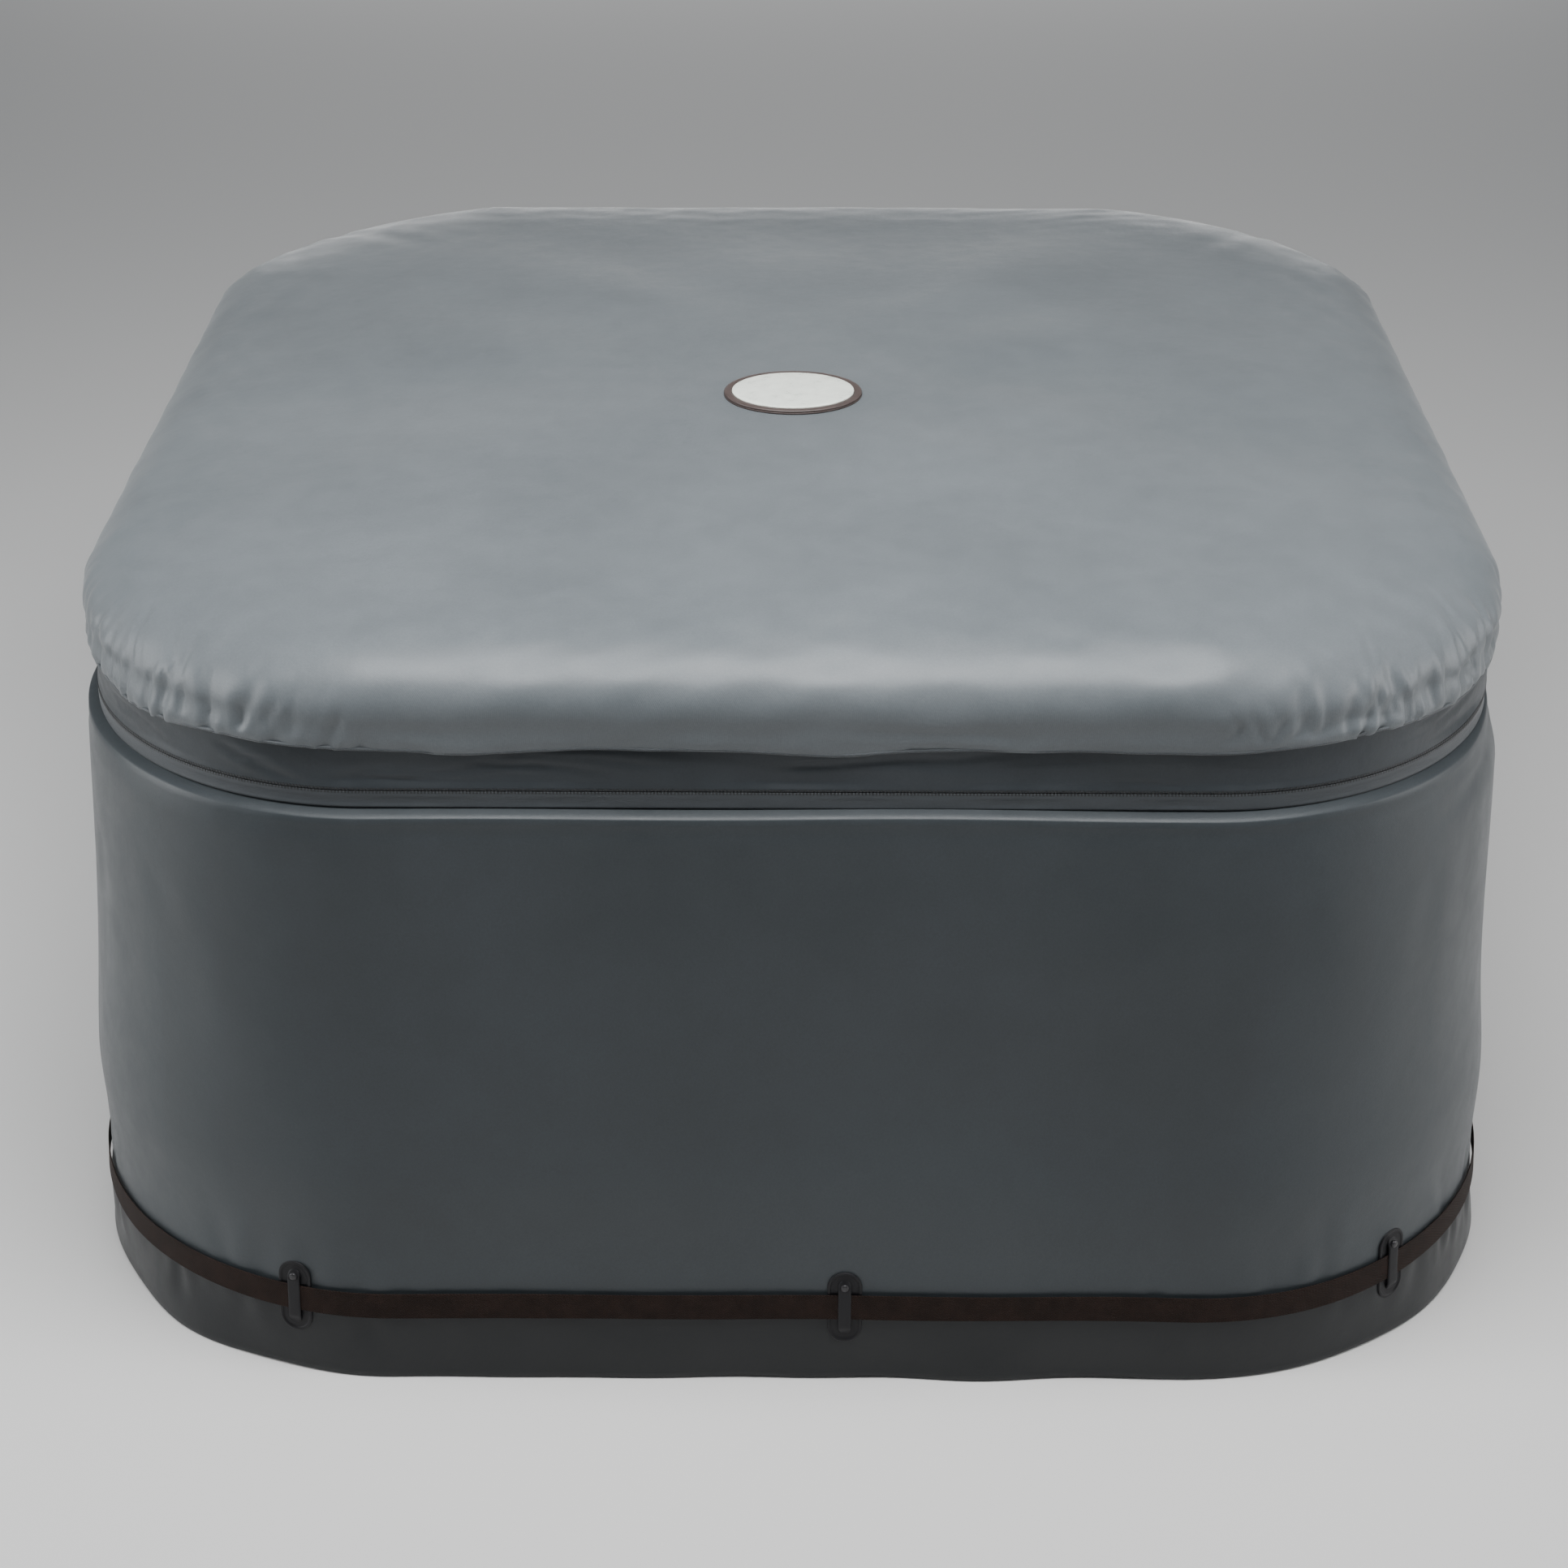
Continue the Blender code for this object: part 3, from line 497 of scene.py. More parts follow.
    def build(self, name: str, finishes: Sequence[Material], sharp: float = 180.0,
              weld: bool = False) -> Object:
        """Make the object.

        Args:
            name: Its name.
            finishes: Materials for its slots.
            sharp: Edges over this angle in degrees stay sharp.
            weld: Join grids where their points meet.

        Returns:
            The object, at the origin.
        """
        mesh = bpy.data.meshes.new(name)
        points = np.vstack(self.points)
        joined = np.arange(len(points))
        if weld:
            _, first, joined = np.unique(np.round(points, 7), axis=0, return_index=True,
                                         return_inverse=True)
            points, joined = points[first], joined.ravel()
        faces = [face for block in self.faces for face in joined[block].tolist()]
        mesh.from_pydata(points.tolist(), [], faces)
        layer = mesh.uv_layers.new(name="place")
        layer.data.foreach_set("uv", np.vstack(self.marks).astype(np.float32).ravel())
        mesh.polygons.foreach_set("material_index", np.concatenate(self.slots).astype(np.int32))
        for finish in finishes:
            mesh.materials.append(finish)
        mesh.shade_smooth()
        if sharp < 180:
            mesh.set_sharp_from_angle(angle=math.radians(sharp))
        mesh.update()
        made = bpy.data.objects.new(name, mesh)
        bpy.context.scene.collection.objects.link(made)
        return made


def moved(points: Array, place: Matrix | None) -> Array:
    """Points after a 4x4 place.

    Args:
        points: (..., 3).
        place: The 4x4 matrix, or None for no change.

    Returns:
        The points turned and shifted.
    """
    if place is None:
        return points
    full = np.array(place)
    return points @ full[:3, :3].T + full[:3, 3]


def rounded(width: float, length: float, radius: float, steps: int = 9) -> tuple[Array, Array]:
    """Outline of a rectangle with round corners and its normals.

    Args:
        width: Along x.
        length: Along y.
        radius: Of its corners.
        steps: Points round each corner.

    Returns:
        Points (4 * steps, 2), anticlockwise from +x, and their outward normals.
    """
    points, normals = [], []
    for corner, (sx, sy) in enumerate(((1, 1), (-1, 1), (-1, -1), (1, -1))):
        turns = np.linspace(corner, corner + 1, steps) * math.pi / 2
        out = np.stack([np.cos(turns), np.sin(turns)], 1)
        middle = np.array([sx * (width / 2 - radius), sy * (length / 2 - radius)])
        points.append(middle + radius * out)
        normals.append(out)
    return np.concatenate(points), np.concatenate(normals)


def oval(length: float, width: float, steps: int = 96) -> tuple[Array, Array]:
    """Outline of an ellipse and its normals.

    Args:
        length: Along x.
        width: Along y.
        steps: How many points.

    Returns:
        Half-axes times cosine and sine, and the normals, which have the half-axes swapped.
    """
    turns = np.linspace(0, 2 * math.pi, steps, endpoint=False)
    out = np.stack([np.cos(turns) * width, np.sin(turns) * length], 1)
    return (np.stack([length / 2 * np.cos(turns), width / 2 * np.sin(turns)], 1),
            out / np.linalg.norm(out, axis=1, keepdims=True))


def edge_levels(height: float, bevel: float, base: float = 0.0, steps: int = 4) -> list:
    """Levels of a plate with round edges above and below.

    Args:
        height: Of the plate.
        bevel: Radius of its edges.
        base: Where its underside is.
        steps: Levels on each edge.

    Returns:
        Rows of (inset, height) on two quarter circles.
    """
    turns = np.linspace(0, math.pi / 2, steps)
    low = [(bevel * (1 - math.sin(a)), base + bevel * (1 - math.cos(a))) for a in turns]
    high = [(bevel * (1 - math.cos(a)), base + height - bevel * (1 - math.sin(a))) for a in turns]
    return low + high


def facing_rear(x: float, y: float, z: float) -> Matrix:
    """Place whose own +z points to the rear."""
    return Matrix.Translation((x, y, z)) @ Matrix.Rotation(math.radians(-90), 4, "X")


def on_rear_jacket(height: float) -> Matrix:
    """Place in the middle of the jacket's rear, leaning with it, whose own +z points outwards."""
    return (Matrix.Translation((0, SIZE.jacket_at(height), height))
            @ Matrix.Rotation(math.atan(SIZE.flare), 4, "X")
            @ Matrix.Rotation(math.radians(-90), 4, "X"))


Lift = Callable[[Array, Array], Array]


def hem_wave(s: Array) -> Array:
    """How far the lid's hem and its piping stand up or down."""
    return 0.0016 * ripple(s, 0 * s, (0.34, 1), 23) + 0.0008 * ripple(s, 0 * s, (0.11, 1), 24)


def creases_lift(creases: Iterable[Crease], s: Array, t: Array) -> Array:
    """Sum of the creases' displacements."""
    return sum((crease.height(s, t, RING.around) for crease in creases), np.zeros_like(s))


@dataclass(frozen=True)
class Sweep:
    """A cloth piece swept round the tub.

    Attributes:
        contour: Its outer face as rows of (half, height).
        cloth: Thickness.
        lift: Displacement along the outward normal, from s and t.
        drop: Displacement straight up, from s and t.
        swell: Displacement level and outwards, from s and t.
        to_middle: The contour's last row closes over the middle.
        back_rows: Rows of the inner face.
    """

    contour: Array
    cloth: float
    lift: Lift | None = None
    drop: Lift | None = None
    swell: Lift | None = None
    to_middle: bool = False
    back_rows: int = 24

    def shape(self) -> Shape:
        """The grid of both faces."""
        t = lengths(self.contour)
        grid_s, grid_t = np.meshgrid(RING.s[:-1], t)
        out = RING.outward(self.contour)
        points = RING.sweep(self.contour)
        if self.lift:
            points += self.lift(grid_s, grid_t)[..., None] * out
        if self.drop:
            points[..., 2] += self.drop(grid_s, grid_t)
        if self.swell:
            points[..., :2] += self.swell(grid_s, grid_t)[..., None] * RING.normals
        rows = len(t)
        share = np.linspace(0, 1, self.back_rows)
        share = share ** 1.6 if self.to_middle else share
        picks = np.unique(np.round((rows - 1) * share).astype(int))[::-1]
        back = points[picks] - self.cloth * out[picks]
        rows_t = np.concatenate([t[picks], t])
        whole = np.concatenate([back, points])
        if self.to_middle:
            return Shape().grid(whole, (RING.s, rows_t), caps="start end")
        return Shape().grid(whole, (RING.s, rows_t), closed=True)

    def flat(self) -> tuple[float, float]:
        """Width and length of the cut, round the tub and up the contour."""
        across = float(lengths(self.contour)[-1])
        if self.to_middle:
            reach = 2 * (float(self.contour[-1, 0]) + across)
            return reach, reach
        return RING.around, across


def finish_piece(made: Object, body: str, nodes: Sequence[str]) -> Object:
    """Fix a piece to its body and hide the CAD nodes it stands for.

    Args:
        made: The piece.
        body: The CAD body it rides on.
        nodes: CAD nodes it stands for, or none.

    Returns:
        The piece.
    """
    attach(made, body)
    if nodes:
        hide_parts(*nodes)
    LOG.info("%s rides on %s", made.name, body)
    return made


def cut(piece: Object, cutter: Object) -> None:
    """Take the cutter's volume out of a piece for good.

    Args:
        piece: What is cut.
        cutter: A closed shape; it is deleted.
    """
    change = piece.modifiers.new("cut", "BOOLEAN")
    change.operation = "DIFFERENCE"
    change.solver = "EXACT"
    change.object = cutter
    bpy.context.view_layer.update()
    shaped = bpy.data.meshes.new_from_object(piece.evaluated_get(bpy.context.evaluated_depsgraph_get()))
    piece.modifiers.clear()
    old = piece.data
    piece.data = shaped
    bpy.data.meshes.remove(old)
    bpy.data.objects.remove(cutter)


class Corner(int, Enum):
    """Corners in the order that s meets them."""

    LEFT_REAR = 0
    LEFT_FRONT = 1
    RIGHT_FRONT = 2
    RIGHT_REAR = 3


@dataclass(frozen=True)
class Gathers:
    """A fan of folds at one corner of the lid."""

    corner: Corner
    count: int
    reach: float
    depth: float
    lean: float
    seed: int

    def creases(self) -> list[Crease]:
        """Folds from the hem upwards, leaning outwards from the corner's middle."""
        rng = np.random.default_rng(self.seed)
        middle = RING.corner_places()[self.corner]
        made = []
        for place in np.linspace(-1, 1, self.count):
            here = place + rng.uniform(-0.5, 0.5) / self.count
            swell = 1.0 - 0.55 * abs(here)
            made.append(Crease(
                start=(middle + self.reach * here, rng.uniform(-0.01, 0.022)),
                turn=math.pi / 2 + self.lean * here + rng.uniform(-0.22, 0.22),
                length=rng.uniform(0.06, 0.15) * (0.6 + 0.4 * swell),
                width=rng.uniform(0.0045, 0.0085),
                depth=self.depth * swell * rng.uniform(0.5, 1.0),
                bend=rng.uniform(-2.5, 2.5),
                spread=rng.uniform(0.8, 2.0)))
        return made


class Lid:
    """Cover, band, lining, hinge cloth and badge of the lid."""

    gathers = (
        Gathers(Corner.LEFT_FRONT, 17, 0.30, 0.0052, -0.5, 11),
        Gathers(Corner.RIGHT_FRONT, 16, 0.28, 0.0062, 0.35, 12),
        Gathers(Corner.LEFT_REAR, 15, 0.28, 0.0045, 0.4, 13),
        Gathers(Corner.RIGHT_REAR, 15, 0.28, 0.0045, -0.4, 14),
    )

    tuck = 0.022
    dome_inset = 0.074
    bladder_side = 0.905

    def __init__(self, finishes: Materials) -> None:
        """Keep the materials by name."""
        self.finishes = finishes

    def contour(self) -> Array:
        """Hem, bulge, crown and dome; the bulge stands above the CAD's, so that the hem tucks under."""
        hem = [(SIZE.lid_half - 0.0042, SIZE.lid_hem), (SIZE.lid_half - 0.0014, SIZE.lid_hem + 0.012)]
        crown_half = SIZE.lid_half - SIZE.crown_run
        rise = SIZE.crown_rise - self.tuck
        side = bow((crown_half, SIZE.bulge + self.tuck), (SIZE.crown_run, rise), 0, 90, 60)
        top = [(half, SIZE.bulge + SIZE.crown_rise) for half in np.linspace(crown_half, 0.02, 60)[1:]]
        points = np.array(hem + side + top)
        across = points[:, 0] / (SIZE.lid_half - self.dome_inset)
        points[:, 1] += 0.97 * SIZE.dome * (1 - across ** 2).clip(0) ** 1.3
        share = np.linspace(0, 1, 108)
        return resample(resample(points, 900), 0.42 * share + 0.58 * share ** 2.2)

    def creases(self) -> list[Crease]:
        """Corner gathers, small tucks along the sides and a few long soft folds on the top."""
        made = [crease for group in self.gathers for crease in group.creases()]
        rng = np.random.default_rng(5)
        for place in RING.corner_places():
            for share in np.linspace(-1, 1, 30):
                here = share + rng.uniform(-0.04, 0.04)
                made.append(Crease(
                    start=(place + 0.31 * here, rng.uniform(0.008, 0.055)),
                    turn=math.pi / 2 - 0.35 * here + rng.uniform(-0.35, 0.35),
                    length=rng.uniform(0.04, 0.13) * (1.15 - 0.5 * abs(here)),
                    width=rng.uniform(0.0032, 0.0058),
                    depth=rng.uniform(0.0012, 0.0040) * (1.1 - 0.7 * abs(here)),
                    bend=rng.uniform(-6, 6),
                    spread=rng.uniform(0.5, 1.4)))
        anywhere = (0, RING.around)
        hem_tucks = Folds(46, anywhere, (-0.005, 0.012), (-0.7, 0.7), (0.02, 0.06), (0.004, 0.008),
                          (0.0006, 0.0016), (-6, 6))
        side_tucks = Folds(30, anywhere, (0.012, 0.05), (-0.25, 0.25), (0.06, 0.2), (0.004, 0.009),
                           (0.0004, 0.0012), (-1, 1), 0.4)
        made += hem_tucks.drawn(rng, turn=math.pi / 2) + side_tucks.drawn(rng)
        places = RING.corner_places()
        for corner, offset, turn, length, depth in (
                (Corner.RIGHT_FRONT, 0.18, 2.2, 0.22, 0.0022),
                (Corner.RIGHT_FRONT, 0.26, 2.5, 0.18, 0.0016),
                (Corner.RIGHT_FRONT, 0.05, 1.9, 0.25, 0.0018),
                (Corner.LEFT_FRONT, -0.16, 0.9, 0.22, 0.0016),
                (Corner.LEFT_FRONT, 0.1, 1.3, 0.26, 0.0014),
                (Corner.LEFT_REAR, 0.0, 1.4, 0.3, 0.0018),
                (Corner.RIGHT_REAR, 0.0, 1.7, 0.3, 0.0018)):
            made.append(Crease((places[corner] + offset, 0.07), turn, length, 0.016, depth, 0.6, 1.5))
        return made

    @staticmethod
    def fullness(s: Array, t: Array) -> Array:
        """How far the lid stands out: drawn in round its corners, full along its sides.

        Args:
            s: Metres round.
            t: Metres up the contour.

        Returns:
            Two eased steps up and down: inwards by the share of corner, outwards by the share of side.
        """
        corner = np.interp(s, RING.s[:-1], RING.corner)
        drawn = -0.0085 * corner * (1 - smooth(0.02, 0.30, t)) * smooth(0.006, 0.04, t)
        full = 0.0100 * (1 - corner) * smooth(0.02, 0.09, t) * (1 - smooth(0.11, 0.24, t))
        return drawn + full

    def cover(self) -> Object:
        """Top cloth, drawn tight over the bladder and gathered at its corners."""
        creases = self.creases()
        total = lengths(self.contour())[-1]

        def lift(s: Array, t: Array) -> Array:
            """Creases, waves that calm towards the middle, finer ones near the hem, and fullness."""
            calm = 1 - smooth(total - 0.30, total - 0.14, t)
            soft = 0.0013 * (0.5 + ripple(s, t, (0.55, 0.32), 21)) * smooth(0.03, 0.16, t) * calm
            fine = 0.0004 * ripple(s, t, (0.09, 0.05), 22, 9) * (1 - smooth(0.1, 0.35, t))
            return creases_lift(creases, s, t) + soft + fine + self.fullness(s, t)

        def drop(s: Array, t: Array) -> Array:
            """The hem's wave, eased away above it."""
            return hem_wave(s) * (1 - smooth(0.0, 0.035, t))

        sweep = Sweep(self.contour(), SIZE.cloth, lift, drop, to_middle=True)
        made = sweep.shape().build("lid_top_cloth", [self.finishes["lid_cloth"]])
        finish_piece(made, Body.LID.value, ["lid_cover"])
        wide, long = sweep.flat()
        return made

    def bladder(self) -> Object:
        """Air bladder: a film bag that keeps clear of the cover and of the lining."""
        inset, base = 0.012, SIZE.tray_base + 0.0040
        top = self.contour()[6:] - (inset, 0)
        top[:, 1] -= 0.007
        top = top[top[:, 1] > base + 0.05][::3]
        fold = bow((SIZE.tray_half - 0.056, base + 0.045), (0.045, 0.045), -90, 0, 14)
        floor = [(half, base) for half in np.linspace(0.0125, SIZE.tray_half - 0.060, 30)]
        crown = [tuple(point) for point in top if point[0] > 0.03]
        contour = np.array(floor + fold + crown + [(0.02, top[-1, 1])])

        def lift(s: Array, t: Array) -> Array:
            """The cover's fullness, so that the bag keeps inside it."""
            return self.fullness(s, t - self.bladder_side)

        made = Sweep(contour, 0.0015, lift, back_rows=60).shape().build(
            "lid_air_bladder", [self.finishes["bladder"]])
        return finish_piece(made, Body.LID.value, ["lid_bladder"])

    def piping(self) -> Object:
        """Round cord sewn into the lid's hem."""
        radius = 0.0022
        middle = (SIZE.lid_half - 0.0050, SIZE.lid_hem + radius)
        base = RING.sweep(np.array(bow(middle, (radius, radius), 0, 330, 12)))
        base[..., 2] += hem_wave(RING.s[:-1])
        made = Shape().grid(base, closed=True).build("lid_hem_piping", [self.finishes["lid_piping"]])
        return finish_piece(made, Body.LID.value, [])

    def band(self) -> Object:
        """Recessed band between the hem and the zip."""
        low, high = SIZE.zip_z + SIZE.zip_gap / 2, SIZE.lid_hem + 0.005
        contour = resample([(SIZE.tape_half, low), (SIZE.tape_half, high)], 26)
        tall = high - low
        creases = Folds(70, (0, RING.around), (0.01, tall), (-0.3, 0.3), (0.05, 0.22), (0.003, 0.007),
                        (0.0006, 0.0018), (-1.5, 1.5), 0.5).drawn(np.random.default_rng(31))

        def lift(s: Array, t: Array) -> Array:
            """Creases and waves, drawn in, and none at the two sewn edges."""
            held = smooth(0.0, 0.012, t) * (1 - smooth(tall - 0.006, tall, t))
            return held * (creases_lift(creases, s, t) - 0.0022 - 0.0010 * ripple(s, t, (0.22, 0.1), 32))

        sweep = Sweep(contour, SIZE.tape_cloth, lift, back_rows=10)
        made = sweep.shape().build("lid_zip_band", [self.finishes["band_cloth"]])
        finish_piece(made, Body.LID.value, ["zipper_upper_tape"])
        sweep.flat()
        return made

    def lining(self) -> Object:
        """Foil lining under the lid, with its side turned up."""
        turn = 0.008
        top = SIZE.zip_z + 0.022
        corner = bow((SIZE.tray_half - turn, SIZE.tray_base + turn), (turn, turn), -90, 0, 8)
        base = [(half, SIZE.tray_base) for half in np.linspace(0.0145, SIZE.tray_half - turn, 64)[:-1]]
        side = [(SIZE.tray_half, z) for z in np.linspace(SIZE.tray_base + turn, top, 12)[1:]]
        contour = np.array(base + corner + side)

        def lift(s: Array, t: Array) -> Array:
            """Small dents away from the middle, never outwards."""
            crumple = 0.5 + 0.5 * ripple(s, t, (0.06, 0.045), 41, 9)
            return -0.0009 * crumple.clip(0, 1) * smooth(0.05, 0.2, t)

        sweep = Sweep(contour, SIZE.tray_cloth, lift, back_rows=30)
        made = sweep.shape().build("lid_foil_lining", [self.finishes["foil"]])
        finish_piece(made, Body.LID.value, ["lid_underside"])
        return made

    def valve_cap(self) -> Object:
        """Turning cap of the bladder's valve."""
        low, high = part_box("lid_valve_cap")
        flange, thick = (high.x - low.x) / 2, 0.007
        stem = 0.0072
        base = SIZE.tray_base - SIZE.gap - thick
        profile = [(0.0008, base)]
        profile += [(flange - 0.002, base), (flange - 0.0006, base + 0.0005), (flange, base + 0.002),
                    (flange, base + thick - 0.001), (flange - 0.001, base + thick), (stem, base + thick),
                    (stem, base + thick + 0.0115), (stem - 0.0008, base + thick + 0.012),
                    (0.0008, base + thick + 0.012)]
        ribs = (18, 0.0012, lambda rows: (rows[:, 0] > flange - 0.0008).astype(float))
        shape = Shape().turned(profile, steps=144, flutes=ribs)
        grip = rounded(0.008, 0.030, 0.0035)
        turn = Matrix.Translation((0, 0, base)) @ Matrix.Rotation(math.pi, 4, "X")
        shape.plate(grip, edge_levels(0.004, 0.001, -0.0002), turn)
        made = shape.build("lid_bladder_valve_cap", [self.finishes["cap"]], 40)
        return finish_piece(made, "lid_valve_cap", ["lid_valve_cap"])

    def badge(self) -> list[Object]:
        """Blank oval badge: two dark layers and a cream face."""
        low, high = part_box("badge_base")
        length, width = high.x - low.x, high.y - low.y
        place = Matrix.Translation((0, (low.y + high.y) / 2, 0))
        rim = Shape()
        outline = oval(length, width)
        rim.plate(outline, [(0.004, low.z - 0.0006), (0.0006, low.z - 0.0002), (0, low.z + 0.0006),
                            (0, low.z + 0.0018), (0.0006, low.z + 0.0023), (0.0016, low.z + 0.0024),
                            (0.0016, low.z + 0.0028), (0.0006, low.z + 0.0029), (0.0002, low.z + 0.0034),
                            (0.0004, low.z + 0.0046), (0.0014, low.z + 0.0052), (0.0040, low.z + 0.0055),
                            (0.0085, low.z + 0.0055), (0.0100, low.z + 0.0050), (0.0106, low.z + 0.0042),
                            (0.0120, low.z + 0.0040)], place)
        base = rim.build("badge_rim", [self.finishes["badge_rim"]], 50)
        finish_piece(base, Body.LID.value, ["badge_base"])
        face_low, face_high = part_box("badge_plate")
        face = Shape().plate(oval(face_high.x - face_low.x + 0.0045, face_high.y - face_low.y + 0.0045),
                             [(0.0004, low.z + 0.0042), (0, low.z + 0.0046), (0, low.z + 0.0058),
                              (0.0005, low.z + 0.0064), (0.0015, low.z + 0.0067),
                              (0.006, low.z + 0.0070), (0.02, low.z + 0.0075), (0.04, low.z + 0.0079)],
                             place)
        plate = face.build("badge_face", [self.finishes["badge_face"]], 60)
        finish_piece(plate, Body.LID.value, ["badge_plate"])
        return [base, plate]

    def hinge(self) -> Object:
        """One cloth from the jacket's rear to the lid, which bends at the zip line."""
        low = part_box("hinge_strip_lower")[0]
        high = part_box("hinge_strip_upper")[1]
        z = np.concatenate([np.linspace(low.z, SIZE.zip_z - 0.012, 14)[:-1],
                            np.linspace(SIZE.zip_z - 0.012, SIZE.zip_z + 0.012, 25),
                            np.linspace(SIZE.zip_z + 0.012, high.z, 16)[1:]])
        x = np.linspace(SIZE.hinge_half, -SIZE.hinge_half, 161)
        grid_x, grid_z = np.meshgrid(x, z)
        thick = 0.002
        step = smooth(SIZE.zip_z - 0.02, SIZE.zip_z + 0.02, grid_z)
        outer = low.y + thick + (high.y - low.y - thick) * step
        soft = 0.0005 * ripple(grid_x, grid_z, (0.12, 0.05), 51) * smooth(low.z, low.z + 0.01, grid_z)
        front = np.stack([grid_x, outer + soft.clip(-1, 0.0004), grid_z], -1)
        back = front - np.array([0, thick, 0])
        whole = np.concatenate([back[::-1], front])
        marks = (np.abs(x - x[0]), np.concatenate([z[::-1], z]))
        shape = Shape().grid(whole, marks, around=False, closed=True)
        for column in (0, -1):
            side = np.stack([back[:, column], front[:, column]])
            side = side if column else side[::-1]
            shape.grid(side, around=False)
        made = shape.build("rear_hinge_cloth", [self.finishes["lid_cloth"]], 60, weld=True)
        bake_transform(made)
        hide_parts("hinge_strip_lower", "hinge_strip_upper")
        LOG.info("%s bends between the tub and the lid", made.name)
        return made


def zip_teeth(name: str, body: str, edge: float, up: float, offset: float,
              finish: Material) -> Object:
    """Moulded teeth along one edge of the zip, round everything but the rear hinge.

    Args:
        name: The piece's name.
        body: What it rides on.
        edge: Height of the tape's edge.
        up: 1 if the tape stands above the zip, -1 below.
        offset: Where the first tooth is, as a share of the pitch.
        finish: Its material.

    Returns:
        The object: one small box for each tooth.
    """
    pitch, wide = 0.004, 0.0020
    ring = RING.at(SIZE.tape_half)
    ring = np.vstack([ring, ring[:1]])
    along = lengths(ring)
    margin = SIZE.hinge_half + 0.004
    spots = np.arange(margin + offset * pitch, along[-1] - margin, pitch)
    at = np.stack([np.interp(spots, along, ring[:, k]) for k in (0, 1)], 1)
    ahead = np.stack([np.interp(spots + 0.001, along, ring[:, k]) for k in (0, 1)], 1) - at
    ahead /= np.linalg.norm(ahead, axis=1, keepdims=True)
    out = np.stack([ahead[:, 1], -ahead[:, 0]], 1)
    corners = np.array([(a, b, c) for c in (-1, 1) for b in (-1, 1) for a in (-1, 1)], float)
    flat = (at[:, None] + corners[None, :, :1] * wide / 2 * ahead[:, None]
            + (corners[None, :, 1:2] * 0.0007 - 0.00045) * out[:, None])
    height = edge + up * (0.0012 - 0.0016 * up * corners[:, 2])
    points = np.concatenate([flat, np.broadcast_to(height[None, :, None], (len(spots), 8, 1))], 2)
    box = np.array([(0, 1, 3, 2), (4, 6, 7, 5), (0, 4, 5, 1), (2, 3, 7, 6), (0, 2, 6, 4), (1, 5, 7, 3)])
    box = box[:, ::-1]
    faces = (box[None] + 8 * np.arange(len(spots))[:, None, None]).reshape(-1, 4)
    shape = Shape()
    shape.take(points.reshape(-1, 3), faces, np.zeros((faces.size, 2)))
    made = shape.build(name, [finish], 20)
    return finish_piece(made, body, [])


